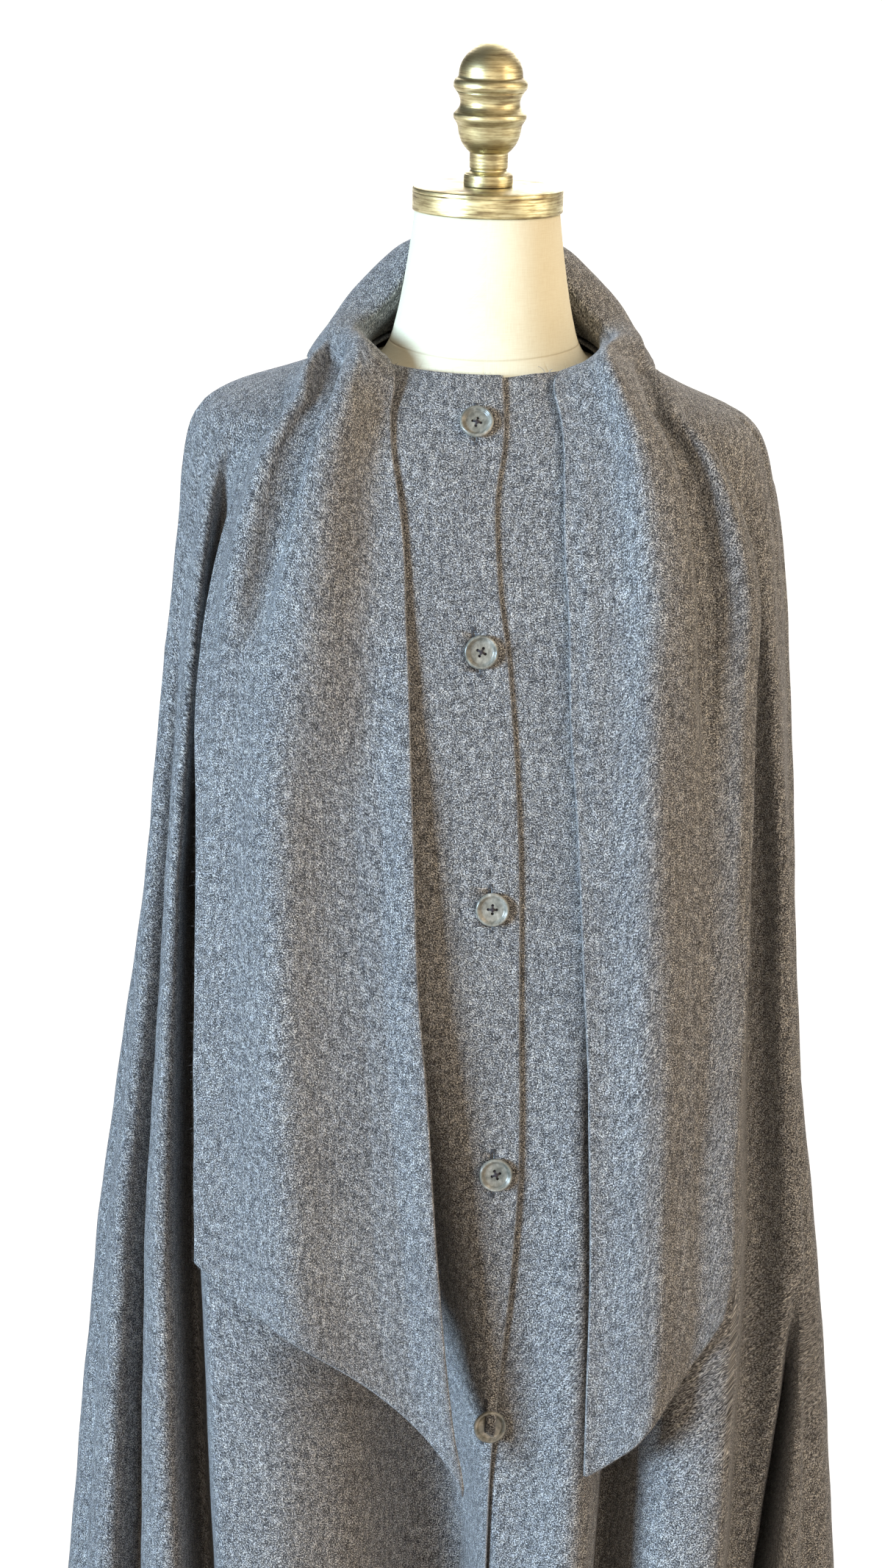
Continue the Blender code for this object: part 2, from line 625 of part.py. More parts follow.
def main():
    for old in list(bpy.data.objects):
        bpy.data.objects.remove(old)
    parts, cutters = collections("wool_cape_coat_on_dress_form")
    wool = material("charcoal_wool", (0.075, 0.078, 0.085), 0.92)
    scarf_wool = material("charcoal_scarf_wool", (0.082, 0.085, 0.092), 0.92)
    horn = material("horn", (0.26, 0.25, 0.20), 0.35)
    linen = material("linen", (0.78, 0.73, 0.64), 0.85)
    brass = material("antique_brass", (0.36, 0.31, 0.14), 0.32, 1.0)
    dark_metal = material("dark_metal", (0.03, 0.03, 0.032), 0.45, 0.6)
    build_fronts(wool, parts)
    build_back(wool, parts)
    build_scarf("scarf_right", RIGHT_END, RIGHT_SLANT_POWER, RIGHT_RIDGES, -1, scarf_wool, parts)
    build_scarf("scarf_left", LEFT_END, LEFT_SLANT_POWER, LEFT_RIDGES, 1, scarf_wool, parts)
    build_buttons(horn, parts, cutters)
    build_torso(linen, parts)
    build_stand(brass, dark_metal, parts)


main()
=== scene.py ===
# %% [markdown]
# # A wool cape coat on its dress form
#
# The coat is a long cape of thick grey wool, worn by a linen-covered dress form. Its collar is a wide scarf
# whose two ends hang down the front. This lesson dresses a plain model of the coat: it repeats that model's
# driving sizes, works every surface out again on a finer grid, and gives each piece its finish.

# %% Load the model
import math

import bpy
import numpy as np
from mathutils import Matrix, Vector


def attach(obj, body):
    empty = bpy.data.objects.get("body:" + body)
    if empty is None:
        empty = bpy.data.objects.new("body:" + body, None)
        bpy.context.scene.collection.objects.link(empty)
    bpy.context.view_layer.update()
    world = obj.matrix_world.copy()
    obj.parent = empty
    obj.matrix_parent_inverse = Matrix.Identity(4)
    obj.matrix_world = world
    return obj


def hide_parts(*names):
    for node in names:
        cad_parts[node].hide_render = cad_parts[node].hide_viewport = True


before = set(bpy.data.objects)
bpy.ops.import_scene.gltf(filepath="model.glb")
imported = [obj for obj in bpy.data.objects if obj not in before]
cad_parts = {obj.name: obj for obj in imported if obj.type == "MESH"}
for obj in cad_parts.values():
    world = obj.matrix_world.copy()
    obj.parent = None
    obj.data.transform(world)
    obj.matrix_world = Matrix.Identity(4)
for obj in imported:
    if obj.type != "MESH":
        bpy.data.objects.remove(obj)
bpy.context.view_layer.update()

# %% [markdown]
# ## Tools for objects and nodes
#
# In Blender's window an object is added and a node is wired by hand. These short functions do the same, and
# every step below uses them.

# %% Tools for objects and nodes
def added(name, data):
    """A new object of a mesh, lamp or camera, linked to the scene."""
    made = bpy.data.objects.new(name, data)
    bpy.context.scene.collection.objects.link(made)
    return made


def connect(tree, made, inputs):
    """Each input of a node linked where it is given a socket, or else set."""
    for key, value in inputs.items():
        if isinstance(value, bpy.types.NodeSocket):
            tree.links.new(value, made.inputs[key])
        else:
            made.inputs[key].default_value = value


def node(tree, kind, inputs, **settings):
    """A new node with its settings made and its inputs linked or set."""
    made = tree.nodes.new(kind)
    for name, value in settings.items():
        setattr(made, name, value)
    connect(tree, made, inputs)
    return made


# %% [markdown]
# ## The camera
#
# The photographer stood about three metres away, a little above the neck, and pointed the camera down. A
# long lens from that distance keeps the coat's sides almost parallel. The camera could be placed by eye, but
# here the view is worked out from four numbers, so the picture can be laid over the photograph.

# %% The camera
IMAGE_SIZE = (1200, 2133)
FOCAL_PIXELS = 6400.0
AIM_POINT = (0.0, 0.0, 1.51)
AIM_PIXEL_Y = 262.0
CAMERA_DISTANCE = 3.2
CAMERA_ELEVATION = math.radians(6.5)
CAMERA_ROLL = math.radians(1.4)
CAMERA_ASIDE = -0.0219
FILM_HEIGHT = 24.0


def place_camera():
    """A camera at the photograph's viewpoint: back from the aim point along the elevation, then pitched down
    by the elevation plus the angle between the aim point's pixel and the middle of the picture."""
    pitch = CAMERA_ELEVATION + math.atan((IMAGE_SIZE[1] / 2 - AIM_PIXEL_Y) / FOCAL_PIXELS)
    back = CAMERA_DISTANCE * np.array([0, -math.cos(CAMERA_ELEVATION), math.sin(CAMERA_ELEVATION)])
    place = np.array(AIM_POINT) + back + (CAMERA_ASIDE, 0, 0)
    ahead = np.array([0, math.cos(pitch), -math.sin(pitch)])
    level = np.array([1.0, 0, 0])
    above = np.cross(level, ahead)
    right = level * math.cos(CAMERA_ROLL) + above * math.sin(CAMERA_ROLL)
    up = above * math.cos(CAMERA_ROLL) - level * math.sin(CAMERA_ROLL)
    lens = bpy.data.cameras.new("camera")
    lens.sensor_fit = "VERTICAL"
    lens.sensor_height = FILM_HEIGHT
    lens.lens = FILM_HEIGHT * FOCAL_PIXELS / IMAGE_SIZE[1]
    camera = added("camera", lens)
    camera.matrix_world = Matrix([(*row, at) for row, at in zip(np.stack([right, up, -ahead], 1), place)]
                                 + [(0, 0, 0, 1)])
    bpy.context.scene.camera = camera
    print("the camera stands at", np.round(place, 3), "with a lens of", round(lens.lens, 1), "mm")


place_camera()

# %% [markdown]
# ## The stage and its light
#
# Low blue daylight falls in from the left, and on the right a broad warm wall glows. That is why the folds'
# left sides look blue and their right sides brown. A third light comes from behind, and a small warm one
# reaches the neck. The distant lamps look wide, so their shadows are soft. Brass shows only what it mirrors,
# so it gets windows of its own, which cloth doesn't see. The camera sees plain white behind everything. The
# floor is large and pale, so no horizon shows. It would light the coat from below like a snow field, so
# diffuse rays pass through it, and the folds keep their depth.

# %% The stage and its light
ROOM_COLOUR = (1.0, 0.97, 0.92)
ROOM_BRIGHTNESS = 0.05
SKY_BRIGHTNESS = 0.14
WARM_WALL_COLOUR = (1.0, 0.80, 0.60)
WARM_WALL_BRIGHTNESS = 1.10
WARM_WALL_AZIMUTH = 45.0
WARM_WALL_ELEVATION = 6.0
BACKDROP_COLOUR = (1.0, 1.0, 1.0)
FLOOR_COLOUR = (0.96, 0.96, 0.95)
FLOOR_GLOW = 0.25
FLOOR_RADIUS = 60.0
FLOOR_CORNERS = 96
WINDOW_DISTANCE = 3.0
NECK_LIGHT_DISTANCE = 1.0
BRASS_PLACE = (0.0, 0.0, 1.55)
# Each distant lamp's name, colour, strength, azimuth, elevation and how wide it looks, in degrees.
SUNS = (
    ("daylight", (0.59, 0.79, 1.0), 6.8, -52, 5, 24),
    ("back_light", (1.0, 0.98, 0.95), 2.4, 170, 30, 60),
)
# Each window's name, colour, brightness, azimuth in degrees, height, and width and height of its pane.
WINDOWS = (
    ("left_window", (0.96, 0.97, 0.95), 1.6, -70, 1.6, (2.0, 2.2)),
    ("front_window", (1.0, 0.93, 0.82), 1.2, -4, 1.6, (2.2, 1.9)),
    ("right_window", (1.0, 0.95, 0.84), 1.9, 78, 1.7, (2.4, 2.2)),
    ("back_window", (1.0, 0.97, 0.90), 0.9, 180, 1.7, (3.0, 2.2)),
)
NECK_LIGHT = ("neck_light", (1.0, 0.80, 0.55), 6.0, 66, 1.85, (0.35, 0.45))

# %% Lamps and windows
def direction(azimuth, elevation):
    """The unit direction at an azimuth, counted from the front to the coat's left, and an elevation, both
    in degrees."""
    turn, rise = math.radians(azimuth), math.radians(elevation)
    return Vector((math.sin(turn) * math.cos(rise), -math.cos(turn) * math.cos(rise), math.sin(rise)))


def sun(name, colour, strength, azimuth, elevation, angle):
    """A distant lamp that shines from an azimuth and an elevation. The angle is how wide the lamp looks:
    wide lamps make soft shadows."""
    lamp = bpy.data.lights.new(name, "SUN")
    lamp.color = colour
    lamp.energy = strength
    lamp.angle = math.radians(angle)
    made = added(name, lamp)
    made.rotation_euler = direction(azimuth, elevation).to_track_quat("Z", "Y").to_euler()


def window(name, colour, brightness, azimuth, height, size, distance=WINDOW_DISTANCE, lights_cloth=False):
    """A bright rectangle at the given azimuth and height, which only mirroring rays meet unless it lights the
    cloth too. A lamp's power is its brightness times pi times its area."""
    lamp = bpy.data.lights.new(name, "AREA")
    lamp.shape = "RECTANGLE"
    lamp.size, lamp.size_y = size
    lamp.color = colour
    lamp.energy = brightness * math.pi * size[0] * size[1]
    made = added(name, lamp)
    turn = math.radians(azimuth)
    made.location = (distance * math.sin(turn), -distance * math.cos(turn), height)
    made.rotation_euler = (made.location - Vector(BRASS_PLACE)).to_track_quat("Z", "Y").to_euler()
    made.visible_diffuse = lights_cloth
    made.visible_camera = False


# %% The world's light
def room_light():
    """The world: one faint colour, brighter towards the sky by how far a direction points up, and a broad
    warm wall, which brightens with the cosine of the angle to its middle. Rays from the camera meet a plain
    backdrop instead."""
    world = bpy.data.worlds.new("studio")
    bpy.context.scene.world = world
    world.use_nodes = True
    tree = world.node_tree
    room = tree.nodes["Background"]
    toward = node(tree, "ShaderNodeTexCoord", {}).outputs["Generated"]
    height = node(tree, "ShaderNodeSeparateXYZ", {0: toward}).outputs["Z"]
    sky = node(tree, "ShaderNodeMapRange", {"Value": height, "To Min": ROOM_BRIGHTNESS,
                                            "To Max": SKY_BRIGHTNESS}).outputs["Result"]
    connect(tree, room, {"Color": (*ROOM_COLOUR, 1), "Strength": sky})
    wall_middle = direction(WARM_WALL_AZIMUTH, WARM_WALL_ELEVATION)
    cosine = node(tree, "ShaderNodeVectorMath", {0: toward, 1: wall_middle}, operation="DOT_PRODUCT")
    glow = node(tree, "ShaderNodeMapRange", {"Value": cosine.outputs["Value"],
                                             "To Max": WARM_WALL_BRIGHTNESS}).outputs["Result"]
    wall = node(tree, "ShaderNodeBackground", {"Color": (*WARM_WALL_COLOUR, 1), "Strength": glow})
    both = node(tree, "ShaderNodeAddShader", {0: room.outputs[0], 1: wall.outputs[0]})
    backdrop = node(tree, "ShaderNodeBackground", {"Color": (*BACKDROP_COLOUR, 1)})
    from_camera = node(tree, "ShaderNodeLightPath", {}).outputs["Is Camera Ray"]
    seen = node(tree, "ShaderNodeMixShader", {0: from_camera, 1: both.outputs[0], 2: backdrop.outputs[0]})
    connect(tree, tree.nodes["World Output"], {"Surface": seen.outputs[0]})


# %% The floor and the lamps
def build_stage():
    """The world's light, the floor and the lamps."""
    bpy.context.scene.view_settings.view_transform = "Standard"
    room_light()
    angle = np.linspace(0, 2 * math.pi, FLOOR_CORNERS, endpoint=False)
    ring = np.stack([np.cos(angle), np.sin(angle), np.zeros(FLOOR_CORNERS)], 1) * FLOOR_RADIUS
    mesh = bpy.data.meshes.new("floor")
    mesh.from_pydata(ring.tolist(), [], [tuple(range(FLOOR_CORNERS))])
    floor = added("floor", mesh)
    paint = bpy.data.materials.new("floor_paint")
    paint.use_nodes = True
    connect(paint.node_tree, paint.node_tree.nodes["Principled BSDF"], {
        "Base Color": (*FLOOR_COLOUR, 1), "Roughness": 0.9, "Specular IOR Level": 0.1,
        "Emission Color": (1, 1, 1, 1), "Emission Strength": FLOOR_GLOW,
    })
    mesh.materials.append(paint)
    floor.visible_diffuse = False
    for each in SUNS:
        sun(*each)
    for each in WINDOWS:
        window(*each)
    window(*NECK_LIGHT, NECK_LIGHT_DISTANCE, True)
    print(len(SUNS), "distant lamps,", len(WINDOWS), "windows for the brass and one light for the neck")


build_stage()

# %% [markdown]
# ## Small tools for shapes
#
# A drawn curve could be a Bezier spline. Here a smooth curve is read through a few values instead, with a
# slope that never overshoots them, because a garment's outline must not wobble between its sizes.

# %% Curves and tables
TINY = 1e-12


def table(columns, rows):
    """A table with named columns, as a dictionary of arrays."""
    values = np.array(rows, float)
    return {name: values[:, i] for i, name in enumerate(columns.split())}


def curve(knots, values, at):
    """A smooth curve through the values, read at the given places. Each stretch is a cubic whose end slopes
    are the harmonic mean of the slopes beside it, or zero at a peak, so it doesn't swing past the values."""
    knots, values, at = (np.asarray(a, float) for a in (knots, values, at))
    slopes = np.diff(values) / np.diff(knots)
    joined = np.zeros_like(values)
    same = slopes[:-1] * slopes[1:] > 0
    joined[1:-1][same] = (2 * slopes[:-1] * slopes[1:] / (slopes[:-1] + slopes[1:] + TINY))[same]
    joined[0], joined[-1] = slopes[0], slopes[-1]
    i = np.clip(np.searchsorted(knots, at) - 1, 0, len(knots) - 2)
    width = knots[i + 1] - knots[i]
    s = np.clip((at - knots[i]) / width, 0, 1)
    return ((1 + 2 * s) * (1 - s) ** 2 * values[i] + s * (1 - s) ** 2 * width * joined[i]
            + s ** 2 * (3 - 2 * s) * values[i + 1] + s ** 2 * (s - 1) * width * joined[i + 1])


def eased(x):
    """0 below 0, 1 above 1, and the smooth rise 3x² - 2x³ between."""
    x = np.clip(x, 0, 1)
    return x * x * (3 - 2 * x)


# %% Spacing and unevenness
CROWDING_STEPS = 4001
WAVE_COUNT = 7
WAVE_SPREAD = (0.7, 1.5)


def crowded(low, high, count, places, reach, extra=4.0):
    """Count places from low to high that lie closer together near the given ones: the running sum of a
    weight of 1 plus a bell round each place is divided evenly."""
    fine = np.linspace(low, high, CROWDING_STEPS)
    weight = np.ones_like(fine)
    for place in places:
        weight += extra * np.exp(-((fine - place) / reach) ** 2)
    total = np.concatenate([[0], np.cumsum((weight[1:] + weight[:-1]) / 2)])
    return np.interp(np.linspace(0, total[-1], count), total, fine)


def unevenness(across, down, size, seed):
    """Soft random waves, mostly within -1 to 1: twice the mean of a few cosine waves of about the given
    length, which run in random directions over the two coordinates."""
    chance = np.random.default_rng(seed)
    total = np.zeros(np.broadcast(across, down).shape)
    for _ in range(WAVE_COUNT):
        angle, phase = chance.uniform(0, 2 * math.pi, 2)
        pace = 2 * math.pi / (size * chance.uniform(*WAVE_SPREAD))
        total += np.cos(pace * (across * math.cos(angle) + down * math.sin(angle)) + phase)
    return total / WAVE_COUNT * 2


# %% [markdown]
# ## The coat's envelope
#
# A cape has no darts to trace, so its shape is simplest to say as a body that the folds' ridges touch. Each
# level, from the neckline to the hem, gives how far that body reaches to the side, the front and the back.
# A place on it is a turn, a quarter of the way round for each whole number, and a level.

# %% The envelope
LEVELS = table("side front back z_side z_front z_back square", [
    (0.0800, 0.0770, 0.0660, 1.4000, 1.3975, 1.4180, 2.00),
    (0.1030, 0.0890, 0.0780, 1.3950, 1.3850, 1.4100, 2.00),
    (0.1420, 0.1040, 0.0950, 1.3820, 1.3640, 1.3940, 2.05),
    (0.1730, 0.1170, 0.1090, 1.3680, 1.3410, 1.3720, 2.10),
    (0.1900, 0.1280, 0.1210, 1.3500, 1.3140, 1.3430, 2.15),
    (0.1995, 0.1380, 0.1330, 1.3200, 1.2800, 1.3040, 2.25),
    (0.2060, 0.1475, 0.1440, 1.2680, 1.2350, 1.2490, 2.40),
    (0.2130, 0.1545, 0.1540, 1.1820, 1.1720, 1.1740, 2.45),
    (0.2205, 0.1600, 0.1620, 1.0920, 1.0900, 1.0900, 2.40),
    (0.2290, 0.1655, 0.1700, 1.0000, 1.0000, 1.0000, 2.35),
    (0.2420, 0.1730, 0.1800, 0.9000, 0.9000, 0.9000, 2.30),
    (0.2560, 0.1810, 0.1900, 0.7870, 0.7870, 0.7870, 2.30),
    (0.2670, 0.1890, 0.1990, 0.6500, 0.6500, 0.6500, 2.30),
    (0.2780, 0.1960, 0.2080, 0.5000, 0.5000, 0.5000, 2.30),
    (0.2870, 0.2020, 0.2150, 0.3300, 0.3300, 0.3300, 2.30),
])
HEM = len(LEVELS["side"]) - 1.0
# The step over which directions are measured.
ENVELOPE_STEP = 0.02


def section_point(levels, turn, level):
    """Points of a body given by a table of levels. Round each level runs a superellipse: the sine and cosine
    of the turn, each to the power 2 over the squareness, times the reach to the side and to the front or
    back. The height blends from the side's to the front's or back's with the cosine squared."""
    rows = np.arange(len(levels["side"]))
    side, front, back, z_side, z_front, z_back, square = (
        curve(rows, levels[name], level) for name in levels)
    angle = np.asarray(turn, float) * math.pi / 2
    across, along = np.sin(angle), np.cos(angle)
    x = side * np.sign(across) * np.abs(across) ** (2 / square)
    y = -np.where(along > 0, front, back) * np.sign(along) * np.abs(along) ** (2 / square)
    z = z_side + (np.where(along > 0, z_front, z_back) - z_side) * along ** 2
    return np.stack([x, y, z], -1)


def unit(vectors):
    """The vectors at length 1."""
    return vectors / np.maximum(np.linalg.norm(vectors, axis=-1, keepdims=True), TINY)


# %% The uneven envelope
# How the coat hangs unevenly: the middle of each soft swelling, its height and half its reach, in turns and
# levels. The right shoulder is fuller than the left one.
UNEVEN = table("turn level height half_turn half_level", [
    (-1.00, 3.7, 0.0080, 0.45, 1.3),
    (1.00, 2.4, -0.0050, 0.45, 0.8),
    (0.97, 10.2, -0.0070, 0.20, 1.5),
])


def envelope(turn, level):
    """Points of the coat's envelope, and the directions straight out of it: down crossed with round. Each
    uneven place then moves the points out by its height times a bell of the turn and a bell of the level."""
    turn, level = np.broadcast_arrays(np.asarray(turn, float), np.asarray(level, float))
    point = section_point(LEVELS, turn, level)
    after, before = turn + ENVELOPE_STEP, turn - ENVELOPE_STEP
    round_it = section_point(LEVELS, after, level) - section_point(LEVELS, before, level)
    low, high = np.clip(level + ENVELOPE_STEP, 0, HEM), np.clip(level - ENVELOPE_STEP, 0, HEM)
    down = section_point(LEVELS, turn, low) - section_point(LEVELS, turn, high)
    out = unit(np.cross(down, round_it))
    swelling = np.zeros(turn.shape)
    for middle, at, height, half_turn, half_level in zip(*UNEVEN.values()):
        away = (turn - middle + 2) % 4 - 2
        swelling += height * np.exp(-(away / half_turn) ** 2 - ((level - at) / half_level) ** 2)
    return point + out * swelling[..., None], out


# %% Places on the front
# How finely turn_on_front looks: its levels, its shares of the way from the side to the front, its rounds of
# settling, and the farthest it reaches to the side.
FINE_LEVELS = 281
FINE_SHARES = 41
ROUNDS = 30
MOST_REACH = 0.999


def turn_on_front(x, z):
    """The turn and level of the point of the envelope's front that lies at x and z. Level is read from the
    height and turn from the side reach, one after the other, until both settle."""
    x, z = np.broadcast_arrays(np.asarray(x, float), np.asarray(z, float))
    rows = np.arange(len(LEVELS["side"]))
    fine = np.linspace(0, HEM, FINE_LEVELS)
    z_side, z_front = curve(rows, LEVELS["z_side"], fine), curve(rows, LEVELS["z_front"], fine)
    turn = np.zeros(x.shape)
    for _ in range(ROUNDS):
        along = np.cos(turn * math.pi / 2) ** 2
        level = np.zeros(x.shape)
        for share in np.linspace(0, 1, FINE_SHARES):
            height = z_side * (1 - share) + z_front * share
            weight = np.maximum(1 - np.abs(along - share) * (FINE_SHARES - 1), 0)
            level += weight * np.interp(-z, -height, fine)
        reach = np.clip(np.abs(x) / curve(rows, LEVELS["side"], level), 0, MOST_REACH)
        turn = np.sign(x) * np.arcsin(reach ** (curve(rows, LEVELS["square"], level) / 2)) * 2 / math.pi
    return turn, level


print("the coat falls from", LEVELS["z_back"][0], "to", LEVELS["z_side"][-1], "m")

# %% [markdown]
# ## The folds
#
# Thick wool hangs in a few deep, soft folds. They could come from a cloth simulation, but these folds have
# to stand where the photograph has them, so each is a row of a table: a trough between two ridges. A deep
# one leans: the cloth beside it is pushed over the trough, which makes the dark gap under a fold's edge.
# Smaller creases run down or slantwise between two levels and fade at both ends.

# %% The folds
# Each fold's place, the levels where it starts and is full, its depth, its half widths to its right and left
# as seen from outside, how square its bell is, how far its rim leans over it, how far its place moves for
# each level, and how much of its depth also goes sideways. A negative depth is a ridge.
FOLDS = table("place start full depth right left square lean slant aside", [
    (-1.12, 6.3, 17.0, 0.034, 0.080, 0.080, 2.0, 0.000, 0.000, 0.5),
    (-0.84, 6.3, 17.0, 0.018, 0.050, 0.060, 2.0, 0.012, 0.000, 0.5),
    (-0.635, 5.0, 13.0, 0.042, 0.060, 0.030, 2.0, 0.006, 0.000, 0.3),
    (-0.408, 3.0, 8.0, 0.080, 0.026, 0.044, 2.8, 0.004, 0.004, 0.0),
    (-0.19, 9.0, 17.0, 0.012, 0.050, 0.050, 2.0, 0.000, 0.000, 0.5),
    (-0.012, 8.8, 12.2, 0.078, 0.028, 0.150, 2.3, 0.000, 0.022, 0.5),
    (0.020, 6.6, 15.0, 0.034, 0.090, 0.125, 3.4, 0.000, 0.000, 0.5),
    (0.190, 8.4, 10.6, 0.020, 0.045, 0.020, 2.2, 0.000, 0.018, 0.0),
    (0.200, 10.6, 12.0, 0.058, 0.080, 0.015, 2.2, 0.008, 0.000, 0.0),
    (0.400, 9.5, 12.5, -0.016, 0.040, 0.110, 2.0, 0.000, 0.000, 0.5),
    (0.463, 3.5, 8.5, 0.054, 0.120, 0.030, 2.2, 0.004, 0.008, 0.0),
    (0.595, 11.0, 12.4, 0.080, 0.024, 0.026, 2.6, 0.006, -0.055, 0.0),
    (0.76, 6.3, 17.0, 0.028, 0.065, 0.065, 2.0, -0.010, 0.000, 0.5),
    (1.07, 6.3, 17.0, 0.034, 0.085, 0.085, 2.0, 0.000, 0.000, 0.5),
    (1.36, 6.3, 17.0, 0.038, 0.060, 0.095, 2.0, 0.014, 0.000, 0.5),
    (1.62, 6.0, 17.0, 0.034, 0.070, 0.070, 2.0, 0.000, 0.000, 0.5),
    (1.86, 5.4, 17.0, 0.030, 0.070, 0.045, 2.0, -0.012, 0.000, 0.5),
    (2.10, 5.2, 17.0, 0.044, 0.055, 0.085, 2.2, 0.014, 0.000, 0.5),
    (2.36, 6.2, 17.0, 0.030, 0.065, 0.065, 2.0, 0.000, 0.000, 0.5),
    (2.62, 6.3, 17.0, 0.040, 0.100, 0.062, 2.0, -0.014, 0.000, 0.5),
])
# Folds hang straight at this level, and drift round by so much for each level away from it, within a range.
VERTICAL_LEVEL = 12.5
DRIFT = 0.050
DRIFT_RANGE = (-0.08, 0.20)
# Where a trough's rim stands, and how wide a stretch of it leans, in half widths of the trough.
RIM_AT = 1.25
RIM_WIDTH = 0.75
# The level at which a slanted fold lies at its place.
SLANT_LEVEL = 12.0

# %% The small creases
# Small creases: the place where each starts and ends, its first and last level, its height, which is
# negative in a trough, and half its width in turns.
CREASES = table("top bottom first last height half_width", [
    (-0.93, -0.74, 2.6, 6.8, -0.0030, 0.035),
    (-0.78, -0.70, 4.2, 9.5, 0.0028, 0.040),
    (-0.55, -0.60, 3.2, 7.4, -0.0022, 0.030),
    (-0.50, -0.49, 9.0, 14.6, 0.0030, 0.025),
    (-0.32, -0.26, 6.5, 10.5, -0.0024, 0.040),
    (-0.09, -0.12, 7.0, 12.0, 0.0022, 0.045),
    (0.13, 0.15, 9.5, 14.5, 0.0030, 0.030),
    (0.31, 0.33, 9.0, 14.6, -0.0032, 0.040),
    (0.64, 0.67, 7.6, 13.0, 0.0035, 0.030),
    (0.80, 0.68, 3.0, 6.6, -0.0030, 0.035),
    (0.93, 0.88, 5.0, 10.0, 0.0030, 0.045),
    (1.20, 1.17, 6.2, 12.5, 0.0032, 0.040),
    (1.30, 1.52, 3.0, 7.0, -0.0030, 0.045),
    (1.48, 1.50, 7.5, 14.4, -0.0034, 0.035),
    (1.73, 1.76, 5.6, 11.5, 0.0030, 0.040),
    (1.97, 1.96, 3.4, 8.4, -0.0026, 0.040),
    (2.22, 2.25, 7.0, 14.5, 0.0034, 0.035),
    (2.47, 2.30, 3.2, 7.2, -0.0030, 0.045),
    (2.52, 2.50, 8.0, 13.4, -0.0028, 0.035),
    (2.78, 2.80, 5.8, 12.0, 0.0032, 0.045),
    (2.93, 2.98, 3.6, 7.0, -0.0026, 0.040),
])

# The unevenness that every thick cloth has, and the level at which it is full.
WAVE_LENGTH = 0.075
WAVE_HEIGHT = 0.0006
WAVE_SLANT = 0.6
WAVE_SEED = 3
WAVE_LEVEL = 3
# The share of each step that place_of takes towards its turn.
PLACE_PACE = 0.7

# %% Folding the envelope
def drift(level):
    """How far a fold's turn drifts at each level, at a place halfway between the middle and the side."""
    return np.clip(DRIFT * (VERTICAL_LEVEL - np.asarray(level, float)), *DRIFT_RANGE)


def turn_of(place, level):
    """The turn at which a place lies: drifted by a sine of the place, so that folds hang straight down."""
    return place + drift(level) * np.sin(math.pi * place)


def place_of(turn, level):
    """The place that lies at a turn, found by stepping towards it."""
    place = turn
    for _ in range(ROUNDS):
        place = place + (turn - turn_of(place, level)) * PLACE_PACE
    return place


def fold_shape(place, level):
    """How far the folds lie inside the envelope, how much of that goes sideways too, and how far they push
    the cloth round it. A trough is a bell exp(-|a|^square) of the distance a from its middle, in half widths
    of the side it is on. It runs straight back, and its share aside follows the outward direction. The push
    is a narrower bell on one rim of the trough, which moves it over the trough: the left rim as seen from
    outside, or the right one where the lean is negative."""
    depth = np.zeros(np.broadcast(place, level).shape)
    sideways = np.zeros_like(depth)
    push = np.zeros_like(depth)
    for middle, start, full, deep, right, left, square, lean, slant, aside in zip(*FOLDS.values()):
        middle = middle + slant * (np.asarray(level) - SLANT_LEVEL)
        away = (np.asarray(place) - middle + 2) % 4 - 2
        half_width = np.where(away > 0, right, left)
        grown = eased((level - start) / (full - start))
        trough = deep * grown * np.exp(-np.abs(away / half_width) ** square)
        depth += trough
        sideways += trough * aside
        from_rim = np.sign(lean) * away / half_width + RIM_AT
        push += lean * np.sqrt(grown) * np.exp(-(from_rim / RIM_WIDTH) ** 2)
    return depth, sideways, push


def ridges(rows, across, down, ease=0.45):
    """Soft ridges and troughs that run down a piece. Between its first and last place down, each follows a
    straight line across, swells and fades with a power of a half sine, and is a bell of its distance."""
    height = np.zeros(np.broadcast(across, down).shape)
    for top, bottom, first, last, tall, half_width in zip(*rows.values()):
        share = np.clip((down - first) / (last - first), 0, 1)
        middle = top + (bottom - top) * share
        height += tall * np.sin(math.pi * share) ** ease * np.exp(-((across - middle) / half_width) ** 2)
    return height


def coat_points(place, level, lift=0.0):
    """Points of the folded coat, moved out by lift: the envelope, less the folds, plus small creases and a
    trace of unevenness that fades to nothing at the neckline."""
    place, level = np.broadcast_arrays(np.asarray(place, float), np.asarray(level, float))
    depth, sideways, push = fold_shape(place, level)
    point, out = envelope(turn_of(place, level) + push, level)
    small = sum(ridges(CREASES, place + whole_way, level) for whole_way in (-4, 0, 4))
    waves = unevenness(point[..., 0] + point[..., 1] * WAVE_SLANT, point[..., 2], WAVE_LENGTH, WAVE_SEED)
    small = small + WAVE_HEIGHT * waves * eased(level / WAVE_LEVEL)
    share = np.where(depth > 0, sideways / np.maximum(depth, TINY), 1)
    inward = unit(out * np.stack([share, np.ones_like(share), np.ones_like(share)], -1))
    return point + out * (lift + small)[..., None] - inward * depth[..., None]


print(len(FOLDS["place"]), "folds and", len(CREASES["top"]), "small creases")

# %% [markdown]
# ## From a grid of points to a wall of cloth
#
# Each piece of cloth starts as a grid of points in the middle of its thickness. A Solidify modifier could
# thicken it, but its raw edge would be square and its weave would smear over it. So the wall is made here:
# the grid moved out by half the thickness, rolled round the edge in a half circle, and moved in. The UV map
# is in metres of cloth, so the weave keeps its scale and follows every fold.

# %% Meshes from arrays
def grid_quads(index, closed=False):
    """The quads between the rows and columns of a grid of vertex numbers, anticlockwise as seen from
    outside. In a closed grid the last column meets the first."""
    if closed:
        index = np.concatenate([index, index[:, :1]], axis=1)
    corners = (index[:-1, :-1], index[1:, :-1], index[1:, 1:], index[:-1, 1:])
    return np.stack([corner.ravel() for corner in corners], 1)


